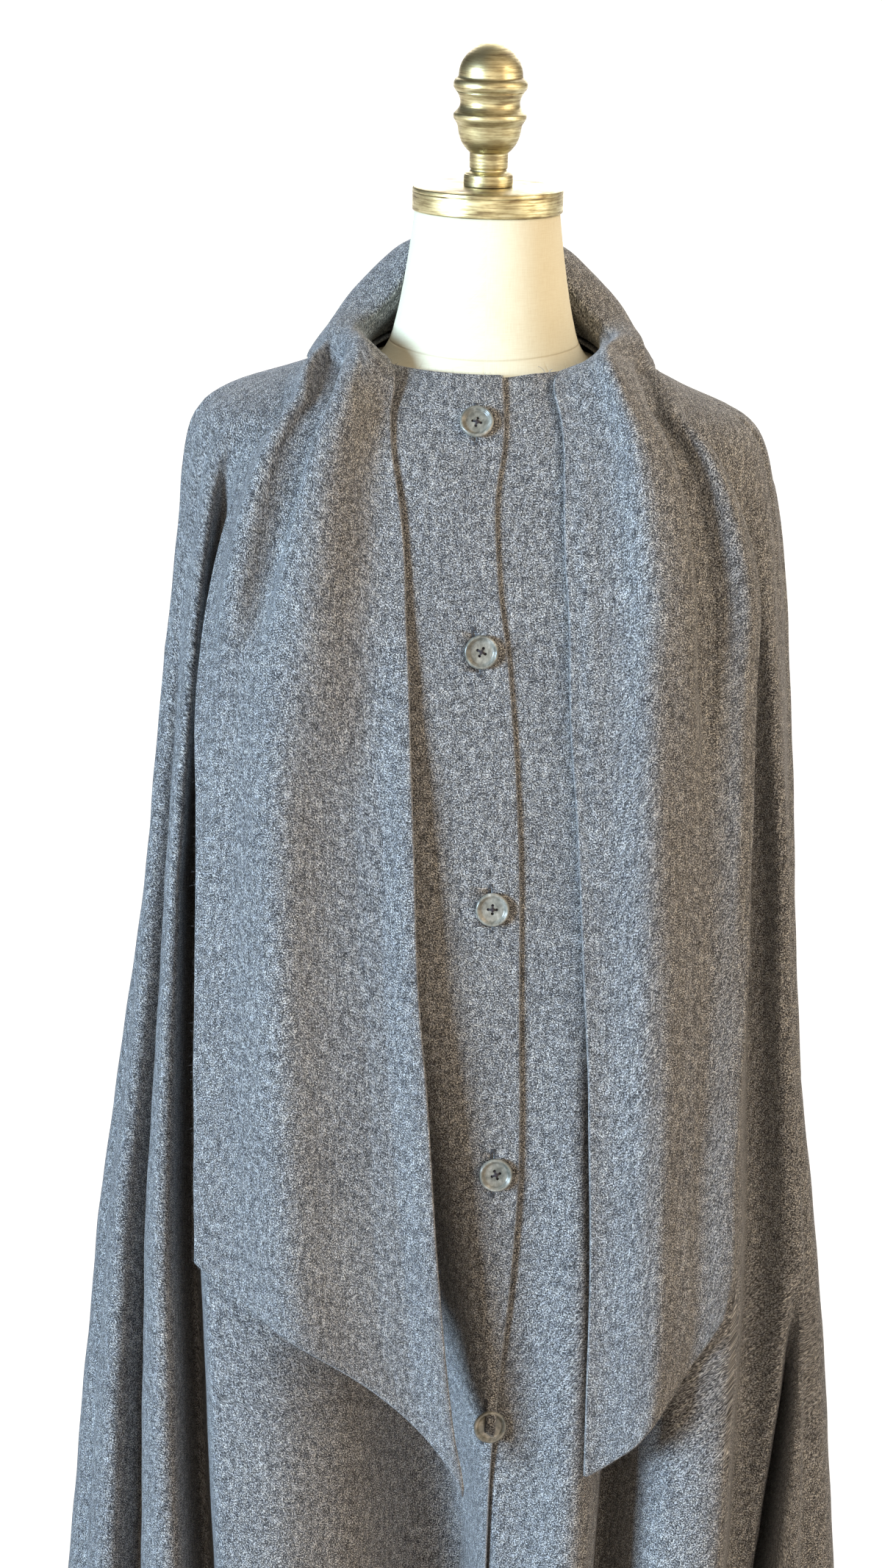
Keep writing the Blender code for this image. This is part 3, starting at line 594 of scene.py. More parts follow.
def pole_caps(index, top, bottom):
    """The triangles that close a grid's first row round one vertex and its last row round another."""
    first, last = index[0], index[-1]
    return np.concatenate([np.stack([first * 0 + top, first, np.roll(first, -1)], 1),
                           np.stack([last * 0 + bottom, np.roll(last, -1), last], 1)])


def new_piece(name, vertices, faces, look, node_name=None, corner_uv=None, edge=None):
    """A smooth object from an array of vertices and arrays of faces, each array with its own number of
    corners, with its material. Where given, it takes the place of a node's plain solid, and has
    UV values for the corners and, for each vertex, how near it is to a raw edge."""
    mesh = bpy.data.meshes.new(name)
    corners = np.concatenate([array.ravel() for array in faces])
    sizes = np.concatenate([np.full(len(array), array.shape[1]) for array in faces])
    mesh.vertices.add(len(vertices))
    mesh.vertices.foreach_set("co", np.ascontiguousarray(vertices, np.float32).ravel())
    mesh.loops.add(len(corners))
    mesh.loops.foreach_set("vertex_index", corners.astype(np.int32))
    mesh.polygons.add(len(sizes))
    mesh.polygons.foreach_set("loop_start", (np.cumsum(sizes) - sizes).astype(np.int32))
    mesh.update(calc_edges=True)
    if corner_uv is not None:
        layer = mesh.uv_layers.new(name="cloth")
        layer.uv.foreach_set("vector", np.ascontiguousarray(corner_uv, np.float32).ravel())
    if edge is not None:
        attribute = mesh.attributes.new("edge", "FLOAT", "POINT")
        attribute.data.foreach_set("value", edge.astype(np.float32))
    mesh.shade_smooth()
    mesh.materials.append(look)
    made = added(name, mesh)
    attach(made, "root")
    if node_name is not None:
        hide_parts(node_name)
    return made


# %% The wall of cloth
RIM_STEPS = 3
GRIDS = {}


def walked(points, axis):
    """The distance walked over a grid from its first point, down its columns (0) or along its rows (1)."""
    steps = np.linalg.norm(np.diff(points, axis=axis), axis=-1)
    start = np.zeros_like(np.take(steps, [0], axis=axis))
    return np.cumsum(np.concatenate([start, steps], axis=axis), axis=axis)


def grid_normals(points):
    """The directions out of a grid: the step down its columns crossed with the step along its rows."""
    return unit(np.cross(np.gradient(points, axis=0), np.gradient(points, axis=1)))


def rim_places(rows, columns):
    """The rows and columns of a grid's border points, clockwise as seen from outside."""
    along, down = np.arange(columns - 1), np.arange(rows - 1)
    row = np.concatenate([along * 0, down, along * 0 + rows - 1, rows - 1 - down])
    column = np.concatenate([along, down * 0 + columns - 1, columns - 1 - along, down * 0])
    return row, column


def cloth_wall(node_name, points, thickness, look, grain=0, slits=()):
    """A closed wall of cloth round a grid of middle points, in place of a node's plain solid. The grid is
    kept for stitches and fibres. Over the border, point i of ring a lies at
    middle + (out * cos a + aside * sin a) * thickness / 2, where aside is out crossed with the border's own
    direction. A slit is a column, its first and last row, and the middle points of its right lip between
    them: the faces on its right use those, and both lips are closed through the thickness. In the UV map,
    u is walked from the grain column and v down from the top."""
    GRIDS[node_name] = points
    rows, columns = points.shape[:2]
    count, half = rows * columns, thickness / 2
    out = grid_normals(points)
    across = walked(points, 1)
    uv = np.stack([across - across[:, grain][:, None], -walked(points, 0)], -1)
    rim = rim_places(rows, columns)
    middle, middle_out, middle_uv = points[rim], out[rim], uv[rim]
    aside = unit(np.cross(middle_out, np.roll(middle, -1, axis=0) - np.roll(middle, 1, axis=0)))
    inward = (np.clip(rim[0], 1, rows - 2), np.clip(rim[1], 1, columns - 2))
    angle = np.linspace(0, math.pi, RIM_STEPS + 2)[:, None, None]
    rings = middle + half * (middle_out * np.cos(angle) + aside * np.sin(angle))
    ring_uv = middle_uv + unit(middle_uv - uv[inward]) * half * angle

    index = np.arange(count).reshape(rows, columns)
    ring_index = 2 * count + np.arange(RIM_STEPS * len(middle)).reshape(RIM_STEPS, -1)
    bands = np.concatenate([index[rim][None], ring_index, index[rim][None] + count])
    next_band, next_uv = np.roll(bands, -1, axis=1), np.roll(ring_uv, -1, axis=1)
    rim_quads = np.stack([bands[:-1], next_band[:-1], next_band[1:], bands[1:]], -1).reshape(-1, 4)
    rim_uv = np.stack([ring_uv[:-1], next_uv[:-1], next_uv[1:], ring_uv[1:]], 2).reshape(-1, 4, 2)
    front = grid_quads(index)
    front_uv = uv.reshape(-1, 2)[front]
    back = (front + count)[:, ::-1].copy()
    vertices = [(points + out * half).reshape(-1, 3), (points - out * half).reshape(-1, 3),
                rings[1:-1].reshape(-1, 3)]
    faces, corner_uv = [rim_quads], [rim_uv]
    total = 2 * count + ring_index.size
    for column, first, last, lip in slits:
        inside = np.arange(first + 1, last)
        fresh = total + np.arange(2 * len(inside)).reshape(2, -1)
        total += fresh.size
        lift = out[inside, column] * half
        vertices += [lip + lift, lip - lift]
        below = inside * (columns - 1) + column
        above = below - (columns - 1)
        front[below, 0], front[above, 1] = fresh[0], fresh[0]
        back[below, 3], back[above, 2] = fresh[1], fresh[1]
        left = index[first:last + 1, column] + np.array([[0], [count]])
        right = left.copy()
        right[:, 1:-1] = fresh
        faces.append(np.stack([left[0, :-1], left[0, 1:], left[1, 1:], left[1, :-1]], 1))
        faces.append(np.stack([right[0, :-1], right[1, :-1], right[1, 1:], right[0, 1:]], 1))
        corner_uv += [np.tile(uv[first, column], (len(left[0]) - 1, 4, 1))] * 2
    faces = [np.concatenate([front, back] + faces)]
    corner_uv = np.concatenate([front_uv, front_uv[:, ::-1]] + corner_uv)
    vertices = np.concatenate(vertices)
    edge = np.zeros(len(vertices))
    edge[2 * count:] = 1
    cells = np.cross(np.diff(points, axis=0)[:, :-1], np.diff(points, axis=1)[:-1])
    area = np.linalg.norm(cells, axis=-1).sum()
    print(f"{node_name}: {2 * len(faces[0])} triangles, {area:.3f} square metres of cloth,",
          f"{across[0, -1]:.3f} m wide at the top and {across[-1, -1]:.3f} m at the hem")
    return new_piece(f"{node_name}_cloth", vertices, faces, look, node_name, corner_uv, edge)


# %% [markdown]
# ## The wool
#
# The coat's cloth is a melange: dark and light fibres are mixed before they are spun, milled until the weave
# almost disappears, and brushed into a short nap. So its colour isn't one grey but small flecks of several,
# about a millimetre across, in faint slanted strokes where the weave still shows. Each is a noise read from
# the UV map in metres, so a noise scale of 1150 makes flecks of about 0.9 mm. Sheen gives the nap's pale
# edge.

# %% Small tools for materials
def new_look(name, roughness, metallic=0.0, specular=0.5):
    """A material, its node tree and its Principled shader."""
    look = bpy.data.materials.new(name)
    look.use_nodes = True
    shader = look.node_tree.nodes["Principled BSDF"]
    shader.inputs["Roughness"].default_value = roughness
    shader.inputs["Metallic"].default_value = metallic
    shader.inputs["Specular IOR Level"].default_value = specular
    return look, look.node_tree, shader


def object_place(tree):
    """Where a point lies, in the object's own metres."""
    return node(tree, "ShaderNodeTexCoord", {}).outputs["Object"]


def cloth_place(tree):
    """Where a point lies on the cloth, in metres walked over it."""
    return node(tree, "ShaderNodeUVMap", {}, uv_map="cloth").outputs["UV"]


def edge_share(tree, most):
    """How near a raw edge or a seam is, from 0 up to the most."""
    edge = node(tree, "ShaderNodeAttribute", {}, attribute_name="edge").outputs["Fac"]
    return node(tree, "ShaderNodeMath", {0: edge, 1: most}, operation="MULTIPLY").outputs[0]


def noise(tree, vector, scale, detail=2.0, roughness=0.5):
    """Soft noise between 0 and 1, with about scale features a metre."""
    return node(tree, "ShaderNodeTexNoise", {"Vector": vector, "Scale": scale, "Detail": detail,
                                             "Roughness": roughness}).outputs["Fac"]


def sums(tree, first, first_share, second, second_share):
    """The weighted sum of two values."""
    part = node(tree, "ShaderNodeMath", {0: first, 1: first_share}, operation="MULTIPLY").outputs[0]
    return node(tree, "ShaderNodeMath", {0: second, 1: second_share, 2: part},
                operation="MULTIPLY_ADD").outputs[0]


def ramp(tree, factor, stops):
    """A colour read from a factor through stops of place and colour."""
    made = node(tree, "ShaderNodeValToRGB", {"Fac": factor})
    elements = made.color_ramp.elements
    for _ in stops[2:]:
        elements.new(0.5)
    for element, (at, colour) in zip(elements, stops):
        element.position = at
        element.color = (*colour, 1)
    return made.outputs["Color"]


def mixed(tree, factor, first, second, blend="MIX"):
    """Two colours mixed by a factor."""
    made = node(tree, "ShaderNodeMix", {"Factor": factor}, data_type="RGBA", blend_type=blend)
    places = [i for i, socket in enumerate(made.inputs) if socket.type == "RGBA"]
    connect(tree, made, dict(zip(places, (first, second))))
    return [o for o in made.outputs if o.type == "RGBA"][0]


def stretched(tree, vector, scale):
    """A vector stretched along each axis."""
    return node(tree, "ShaderNodeMapping", {"Vector": vector, "Scale": scale}).outputs[0]


def turned_vector(tree, vector, degrees, scale):
    """A vector turned about Z and then stretched."""
    turned_by = node(tree, "ShaderNodeMapping", {"Vector": vector, "Rotation": (0, 0, math.radians(degrees))})
    return stretched(tree, turned_by.outputs[0], scale)


def bumped(tree, shader, height, distance, strength=1.0):
    """A bump from a height, at a real distance in metres, linked to the shader."""
    bump = node(tree, "ShaderNodeBump", {"Height": height, "Distance": distance, "Strength": strength})
    tree.links.new(bump.outputs[0], shader.inputs["Normal"])


# %% The melange wool
FLECKS_PER_METRE = 1150
STROKES_PER_METRE = 600
TUFTS_PER_METRE = 230
LINES_PER_METRE = 500
TINTS_PER_METRE = 300
MOTTLES_PER_METRE = 16


def melange_wool():
    """Charcoal-grey melange wool: flecks, slanted strokes and soft mottling, in metres of cloth. Its raw
    edges are painted lighter: a painted highlight where the cut edge catches light.
    """
    look, tree, shader = new_look("charcoal_melange_wool", 0.94, specular=0.12)
    cloth = cloth_place(tree)
    flecks = noise(tree, cloth, FLECKS_PER_METRE, 1.5, 0.6)
    strokes = noise(tree, turned_vector(tree, cloth, 52, (1, 2.2, 1)), STROKES_PER_METRE, 1.0, 0.5)
    tufts = noise(tree, turned_vector(tree, cloth, 20, (1, 0.7, 1)), TUFTS_PER_METRE, 2.0, 0.6)
    lines = noise(tree, turned_vector(tree, cloth, 0, (1, 0.10, 1)), LINES_PER_METRE, 1.0, 0.5)
    fine, coarse = sums(tree, flecks, 0.54, strokes, 0.22), sums(tree, tufts, 0.17, lines, 0.07)
    fleece = sums(tree, fine, 1.0, coarse, 1.0)
    colour = ramp(tree, fleece, [
        (0.405, (0.020, 0.021, 0.024)), (0.460, (0.078, 0.080, 0.084)), (0.500, (0.165, 0.168, 0.173)),
        (0.540, (0.320, 0.323, 0.325)), (0.610, (0.760, 0.765, 0.755)),
    ])
    mottle = noise(tree, cloth, MOTTLES_PER_METRE, 2.0, 0.5)
    shade = ramp(tree, mottle, [(0.30, (0.86, 0.86, 0.87)), (0.70, (1.0, 1.0, 1.0))])
    tints = noise(tree, cloth, TINTS_PER_METRE, 1.0, 0.5)
    dye = ramp(tree, tints, [(0.35, (0.97, 0.99, 1.03)), (0.65, (1.03, 1.01, 0.97))])
    colour = mixed(tree, 1.0, mixed(tree, 1.0, colour, shade, "MULTIPLY"), dye, "MULTIPLY")
    # Up to 35 % of a lighter grey is mixed in at the raw edges: a painted highlight on the cut edge.
    connect(tree, shader, {
        "Base Color": mixed(tree, edge_share(tree, 0.35), colour, (0.30, 0.305, 0.31, 1)),
        "Sheen Weight": 0.12, "Sheen Roughness": 0.5, "Sheen Tint": (0.85, 0.90, 1.0, 1),
    })
    bumped(tree, shader, fleece, 0.0011, 0.8)
    return look


WOOL_LOOK = melange_wool()

# %% [markdown]
# ## The fronts and the back
#
# A cape is cut from three large panels: two fronts and a back, joined along the shoulders and down the
# sides. The right front lies over the left one and ends in a raw edge, with upright buttonholes beside it.
# The photograph's edge is followed by a table of heights and distances, and the columns of points follow
# the same line, so the edge stays one clean column. The buttonholes are real slits in the grid.

# %% The panels' driving sizes
WOOL = 0.0022
LAYER_GAP = 0.0009
UNDERLAP = 0.036
# How the left front's gap under the right one grows: from which level, over how many, and by how many gaps.
UNDER_LEVEL = 8.5
UNDER_LEVELS = 2
UNDER_GROWTH = 1.4
MIDDLE_REACH = 0.45
STEP_UP = 0.12
SEAM_PLACE = 0.0004
SEAM_DIP = 0.0009
SEAM_WIDTH = 0.012

# %% The front edge and the buttonholes
# The free front edge of the right front: its height and how far it lies to the wearer's left.
FRONT_EDGE = table("z x", [
    (1.3980, 0.0118),
    (1.3640, 0.0136),
    (1.3200, 0.0090),
    (1.2700, 0.0120),
    (1.2200, 0.0195),
    (1.1500, 0.0265),
    (1.0700, 0.0315),
    (0.9800, 0.0340),
    (0.8800, 0.0367),
    (0.8000, 0.0335),
    (0.7200, 0.0270),
    (0.6400, 0.0225),
    (0.5500, 0.0220),
    (0.3300, 0.0240),
])
BUTTONS = table("x z", [
    (-0.0040, 1.3690),
    (0.0026, 1.2257),
    (0.0143, 1.0537),
    (0.0216, 0.8704),
    (0.0218, 0.6913),
])
# How far inside the free edge the line of the buttonholes runs.
HOLE_INSET = table("z inset", [
    (1.3980, 0.0180),
    (1.3690, 0.0180),
    (1.2257, 0.0190),
    (1.0537, 0.0185),
    (0.8704, 0.0170),
    (0.7600, 0.0120),
    (0.6913, 0.0055),
    (0.6200, 0.0120),
    (0.5500, 0.0180),
    (0.3300, 0.0180),
])
HOLE_LENGTHS = (0.020, 0.0275, 0.0275, 0.0275, 0.0275)
HOLE_OPEN = 0.0008
# The strip between the fifth buttonhole and the edge arches out over the half of the button under it.
STRIP_ARCH = 0.0075
STRIP_ARCH_POWER = 1.4
# Rows and columns of each panel, the turn down which its rows are spaced, and how its columns crowd at folds.
FRONT_RIGHT_ROWS, FRONT_RIGHT_COLUMNS, STRIP_COLUMNS = 236, 132, 10
FRONT_LEFT_ROWS, FRONT_LEFT_COLUMNS, HIDDEN_COLUMNS = 220, 140, 9
BACK_ROWS, BACK_COLUMNS = 200, 208
FRONT_TURN = 0.3
BACK_TURN = 1.7
ROW_STEPS = 3001
WALL_AT = 0.8
WALL_REACH = 0.02
FRONT_CROWDING = 3.0
BACK_CROWDING = 2.0

# %% Rows and columns of the panels
def rows_down(count, turn, heights=(), reach=0.02, extra=2.0):
    """Levels an even distance apart down the envelope at a turn, closer together near some heights."""
    fine = np.linspace(0, HEM, ROW_STEPS)
    line = section_point(LEVELS, np.full_like(fine, turn), fine)
    distance = walked(line[:, None], 0)[:, 0]
    near = np.interp(-np.asarray(heights, float), -line[:, 2], distance)
    return np.interp(crowded(0, distance[-1], count, near, reach, extra), distance, fine)


def fold_walls(low, high):
    """The places of the folds' steep walls between two places, where columns lie closer together."""
    wanted = [middle + half * WALL_AT + whole for halves in (FOLDS["right"], -FOLDS["left"])
              for middle, half in zip(FOLDS["place"], halves) for whole in (0, 4)]
    return [place for place in wanted if low < place < high]


def front_line(level, inside=0.0):
    """The place at each level of a line that runs a distance inside the free front edge."""
    z = section_point(LEVELS, np.zeros_like(level), level)[:, 2]
    x = curve(-FRONT_EDGE["z"], FRONT_EDGE["x"], -z) - inside
    return place_of(turn_on_front(x, z)[0], level)


def seam_lift(place):
    """How far the cloth dips where it turns in at the side seams: a narrow bell at places -1, 1 and 3."""
    away = np.abs((place - 1 + 1) % 2 - 1)
    return -SEAM_DIP * np.exp(-(away / SEAM_WIDTH) ** 2)


# %% The right front
def build_front_right():
    """The right front. Its columns run from the side seam to the line of the buttonholes, and on to the free
    edge, where each follows a share of the way between the two lines."""
    level = rows_down(FRONT_RIGHT_ROWS, FRONT_TURN, BUTTONS["z"])
    z = section_point(LEVELS, np.zeros_like(level), level)[:, 2]
    hole_line = front_line(level, curve(-HOLE_INSET["z"], HOLE_INSET["inset"], -z))
    edge = front_line(level)
    side = crowded(-1 + SEAM_PLACE, 0, FRONT_RIGHT_COLUMNS, fold_walls(-1, 0) + [-1.0], WALL_REACH,
                   FRONT_CROWDING)
    side = side[None, :] + hole_line[:, None] * eased((side + MIDDLE_REACH) / MIDDLE_REACH)[None, :]
    share = np.linspace(0, 1, STRIP_COLUMNS + 1)[None, 1:]
    place = np.concatenate([side, hole_line[:, None] + (edge - hole_line)[:, None] * share], 1)
    hole_column = side.shape[1] - 1
    level_grid = np.broadcast_to(level[:, None], place.shape)
    points = coat_points(place, level_grid, seam_lift(place))
    right = unit(np.gradient(points, axis=1))
    slits = []
    for number, (centre, length) in enumerate(zip(BUTTONS["z"], HOLE_LENGTHS), start=1):
        rows = np.flatnonzero(np.abs(points[:, hole_column, 2] - centre) < length / 2)
        first, last = rows[0] - 1, rows[-1] + 1
        along = np.clip((centre - points[:, hole_column, 2]) / length + 0.5, 0, 1)
        open_by = HOLE_OPEN / 2 * np.sin(math.pi * along)[:, None] * right[:, hole_column]
        lip = points[:, hole_column] + open_by
        points[:, hole_column] -= open_by
        if number == len(BUTTONS["z"]):
            arch = STRIP_ARCH * np.sin(math.pi * along) ** STRIP_ARCH_POWER
            forward = envelope(turn_of(place, level_grid), level_grid)[1]
            points[:, hole_column + 1:] += arch[:, None, None] * forward[:, hole_column + 1:]
            lip = lip + arch[:, None] * forward[:, hole_column]
        slits.append((hole_column, first, last, lip[first + 1:last]))
    return cloth_wall("front_right", points, WOOL, WOOL_LOOK, -1, slits), slits


FRONT_RIGHT, SLITS = build_front_right()

# %% The left front and the back
def build_front_left():
    """The left front. Under the right one it lies lower by the cloth's thickness and a gap, measured straight
    out of the folded cloth, and past the edge it rises again, eased over a short way."""
    level = rows_down(FRONT_LEFT_ROWS, FRONT_TURN)
    edge, under = front_line(level), front_line(level, UNDERLAP)
    hidden = under[:, None] + (edge - under)[:, None] * np.linspace(0, 1, HIDDEN_COLUMNS)[None, :]
    side = crowded(0, 1 - SEAM_PLACE, FRONT_LEFT_COLUMNS, fold_walls(0, 1) + [0.0, 1.0], WALL_REACH,
                   FRONT_CROWDING)[1:]
    side = side[None, :] + edge[:, None] * eased((MIDDLE_REACH - side) / MIDDLE_REACH)[None, :]
    place = np.concatenate([hidden, side], 1)
    past_edge = eased(1 - (place - edge[:, None]) / STEP_UP)
    points = coat_points(place, level[:, None], seam_lift(place))
    under_by = WOOL + LAYER_GAP * (1 + UNDER_GROWTH * eased((level - UNDER_LEVEL) / UNDER_LEVELS))[:, None]
    points = points - grid_normals(points) * (under_by * past_edge)[..., None]
    return cloth_wall("front_left", points, WOOL, WOOL_LOOK)


def build_back():
    """The back, from side seam to side seam."""
    level = rows_down(BACK_ROWS, BACK_TURN)
    place = crowded(1 + SEAM_PLACE, 3 - SEAM_PLACE, BACK_COLUMNS, fold_walls(1, 3) + [1.0, 3.0], WALL_REACH,
                    BACK_CROWDING)
    place = np.repeat(place[None, :], len(level), 0)
    points = coat_points(place, level[:, None], seam_lift(place))
    return cloth_wall("back", points, WOOL, WOOL_LOOK, BACK_COLUMNS // 2)


FRONT_LEFT = build_front_left()
BACK = build_back()

# %% [markdown]
# ## The scarf collar
#
# The collar is one long scarf, sewn to the neckline round the back and sides of the neck, whose raw ends hang
# down the front. Here it is two halves that meet at the centre back. Round the neck each section stands up,
# rolls over and falls on the shoulder; on the chest each section runs straight across from the inner to the
# outer edge. Sections are rows of two tables, and a smooth curve through them fills in the rows between.
# Then finer folds are raised along the surface's own directions out, as a hand would dress the cloth.

# %% The scarf's driving sizes
SCARF_WOOL = 0.0024
SEAM_GAP = 0.0003
SEAM_STEP = 0.002
SCARF_ACROSS = 84
SCARF_DOWN = 230
# The scarf's width as its unevenness sees it, the length of those waves, and the share of the fine folds that
# the first rows at the centre back keep.
SCARF_WIDE = 0.14
SCARF_WAVE_LENGTH = 0.09
SCARF_SEED = 11
SEAM_FLAT = (0.0, 0.3, 0.7)

# %% The scarf's hanging ends
# The scarf's edges where it hangs, on each side: the height of the section at its inner edge, the two edges'
# distance from the middle, and how much higher its outer edge is, which slants the lower end.
RIGHT_END = table("z inner outer slant", [
    (1.3960, 0.0652, 0.1220, -0.008),
    (1.3700, 0.0615, 0.1350, -0.010),
    (1.3300, 0.0565, 0.1600, -0.012),
    (1.2700, 0.0493, 0.1735, -0.010),
    (1.1900, 0.0444, 0.1805, 0.000),
    (1.1000, 0.0395, 0.1800, 0.010),
    (1.0100, 0.0348, 0.1795, 0.020),
    (0.9200, 0.0260, 0.1795, 0.040),
    (0.8200, 0.0178, 0.1791, 0.080),
    (0.7200, 0.0068, 0.1782, 0.120),
    (0.6540, -0.0050, 0.1775, 0.143),
])
LEFT_END = table("z inner outer slant", [
    (1.3960, 0.0521, 0.1205, -0.008),
    (1.3700, 0.0520, 0.1372, -0.010),
    (1.3300, 0.0550, 0.1645, -0.012),
    (1.2700, 0.0582, 0.1785, -0.010),
    (1.1900, 0.0626, 0.1812, 0.000),
    (1.1000, 0.0705, 0.1820, 0.008),
    (1.0100, 0.0767, 0.1830, 0.016),
    (0.9200, 0.0827, 0.1818, 0.030),
    (0.8200, 0.0866, 0.1786, 0.055),
    (0.7200, 0.0870, 0.1795, 0.078),
    (0.6640, 0.0870, 0.1750, 0.105),
])
# How the lower edge rises from its tip to its outer corner: a power below 1 is steepest at the tip.
RIGHT_SLANT_POWER = 0.68
LEFT_SLANT_POWER = 1.35

# %% The scarf round the neck
# The scarf round the neck, from the centre back to the side of the neck: the turn of each section, how high
# its roll stands off the coat, the level under the roll, how upright it stands, the turn and level where
# the outer edge lies, and how far its stand leans in to the neck.
COLLAR_COLUMNS = "turn roll roll_level upright outer_turn outer_level inward"
RIGHT_COLLAR = table(COLLAR_COLUMNS, [
    (2.00, 0.0640, 0.20, 2.2, 2.00, 3.10, 0.014),
    (1.70, 0.0600, 0.15, 2.2, 1.72, 2.70, 0.017),
    (1.40, 0.0430, 0.10, 2.4, 1.43, 2.05, 0.020),
    (1.12, 0.0270, 0.30, 1.3, 1.15, 1.48, 0.016),
    (0.88, 0.0200, 0.72, 0.6, 0.92, 1.30, 0.007),
])
LEFT_COLLAR = table(COLLAR_COLUMNS, [
    (2.00, 0.0640, 0.20, 2.2, 2.00, 3.10, 0.014),
    (1.70, 0.0590, 0.12, 2.2, 1.72, 2.60, 0.017),
    (1.40, 0.0400, 0.06, 2.6, 1.43, 1.90, 0.019),
    (1.12, 0.0245, 0.24, 1.4, 1.15, 1.40, 0.014),
    (0.88, 0.0190, 0.68, 0.6, 0.92, 1.32, 0.007),
])
# The share of the sideways part in the direction in which the hanging scarf's folds stand off, and the same
# round the neck.
HANGING_ASIDE = 0.4
COLLAR_ASIDE = np.array([1.0, 1.0, 1.0, 0.95, 0.65])
# How far the scarf's middle lies over the coat's where it lies flat, how much of that a fine fold leaves, and
# up to which lift the distance straight out of the coat isn't less than the lift.
SCARF_LIFT = (WOOL + SCARF_WOOL) / 2 + LAYER_GAP * 2.5
LEAST_LIFT = 0.0042
FLAT_LIFT = SCARF_LIFT * 1.5
ROLL_AT = 0.42
INWARD_REACH = 0.58
FALL_POWER = 0.9

# %% The scarf's folds
# The wide soft folds of each half: the place across it where a fold starts and ends, from 0 at the inner edge
# to 1 at the outer one, over how many sections it gets there, its first and last section, its height, and
# half its width.
RIGHT_SWELLS = table("top bottom settle first last height half_width", [
    (0.15, 0.63, 1.3, -0.7, 12.0, 0.0220, 0.21),
    (0.02, 0.44, 1.3, -0.4, 5.0, 0.0150, 0.17),
    (0.78, 0.86, 2.0, -0.6, 4.2, 0.0170, 0.10),
    (0.00, 0.00, 1.0, 4.0, 13.0, 0.0120, 0.13),
    (1.00, 1.00, 1.0, 3.0, 13.0, 0.0080, 0.24),
    (1.00, 1.00, 1.0, -1.5, 2.0, 0.0035, 0.12),
])
LEFT_SWELLS = table("top bottom settle first last height half_width", [
    (0.36, 0.42, 2.0, -0.7, 12.0, 0.0200, 0.21),
    (0.44, 0.54, 2.0, -0.4, 4.5, 0.0090, 0.15),
    (0.93, 0.96, 2.0, 0.2, 4.4, 0.0080, 0.09),
    (1.00, 1.00, 1.0, 2.0, 13.0, 0.0080, 0.24),
    (1.00, 1.00, 1.0, 7.0, 14.0, 0.0050, 0.34),
])
SWELL_EASE = 1.6

# The finer folds run straight from top to bottom, so they have no settling. Sections -5 to -1 go round the
# neck, from the centre back.
RIGHT_CREASES = table("top bottom first last height half_width", [
    (0.52, 0.74, -0.2, 3.6, -0.0130, 0.062),
    (0.80, 0.90, 0.4, 5.5, 0.0030, 0.060),
    (0.60, 0.63, 3.6, 10.6, 0.0034, 0.090),
    (0.17, 0.20, 3.6, 10.0, -0.0034, 0.100),
    (0.84, 0.86, 4.4, 10.4, -0.0020, 0.070),
    (0.30, 0.22, -5.6, -0.6, -0.0030, 0.070),
    (0.62, 0.74, -5.6, -0.2, 0.0026, 0.080),
])
LEFT_CREASES = table("top bottom first last height half_width", [
    (0.30, 0.28, -1.4, 4.6, -0.0040, 0.080),
    (0.60, 0.62, -1.0, 5.0, 0.0060, 0.080),
    (0.76, 0.74, -0.1, 4.4, -0.0120, 0.058),
    (0.93, 0.92, 0.6, 6.0, 0.0030, 0.050),
    (0.10, 0.12, 1.0, 5.5, 0.0020, 0.060),
    (0.44, 0.36, 5.0, 10.6, -0.0028, 0.090),
    (0.68, 0.66, 4.6, 10.4, 0.0028, 0.090),
    (0.32, 0.24, -5.6, -0.6, -0.0030, 0.070),
    (0.64, 0.76, -5.6, -0.2, 0.0026, 0.080),
])

# %% The scarf's sections
def swell_heights(rows, across, down):
    """How high the wide folds stand: bells across, whose middles go from top to bottom as 1 - exp(-down), and
    which grow from a little above their first section and fade towards their last one."""
    height = np.zeros((len(down), len(across)))
    for top, bottom, settle, first, last, tall, half_width in zip(*rows.values()):
        middle = bottom + (top - bottom) * np.exp(-np.maximum(down - first, 0) / settle)
        grown = eased((down - first + SWELL_EASE) / SWELL_EASE / 2)
        if last < down[-1]:
            grown = grown * eased((last - down) / SWELL_EASE)
        height += tall * grown[:, None] * np.exp(-((across - middle[:, None]) / half_width) ** 2)
    return height


def scarf_sections(collar, end, slant_power, swells):
    """The turn, level, lift, upright part, inward move and share aside of one half's sections, from the
    centre back to the lower end. A collar section's lift rises as a quarter sine to the roll and falls as a
    cosine to the outer edge."""
    across = np.linspace(0, 1, SCARF_ACROSS)
    x = end["inner"][:, None] + (end["outer"] - end["inner"])[:, None] * across
    height = end["z"][:, None] + end["slant"][:, None] * across ** slant_power
    turn, level = turn_on_front(x, height)
    hanging = SCARF_LIFT + np.maximum(swell_heights(swells, across, np.arange(len(end["z"]))), 0)

    over = eased(across)
    collar_turn = collar["turn"][:, None] * (1 - over) + collar["outer_turn"][:, None] * over
    collar_level = np.stack([np.interp(across, [0, ROLL_AT, 1], [0.0, low, high])
                             for low, high in zip(collar["roll_level"], collar["outer_level"])])
    rise = np.sin(across / ROLL_AT * math.pi / 2)
    fall = np.cos(np.clip((across - ROLL_AT) / (1 - ROLL_AT), 0, 1) * math.pi / 2) ** FALL_POWER
    bulge = np.where(across < ROLL_AT, rise, fall)
    collar_lift = SCARF_LIFT + collar["roll"][:, None] * bulge
    upright = collar["upright"][:, None] * bulge
    inward = collar["inward"][:, None] * np.sin(np.clip(across / INWARD_REACH, 0, 1) * math.pi)
    aside = np.concatenate([COLLAR_ASIDE, np.full(len(turn), HANGING_ASIDE)])[:, None] + across * 0
    return (np.concatenate([collar_turn, turn]), np.concatenate([collar_level, level]),
            np.concatenate([collar_lift, hanging]), np.concatenate([upright, turn * 0]),
            np.concatenate([inward, turn * 0]), aside)


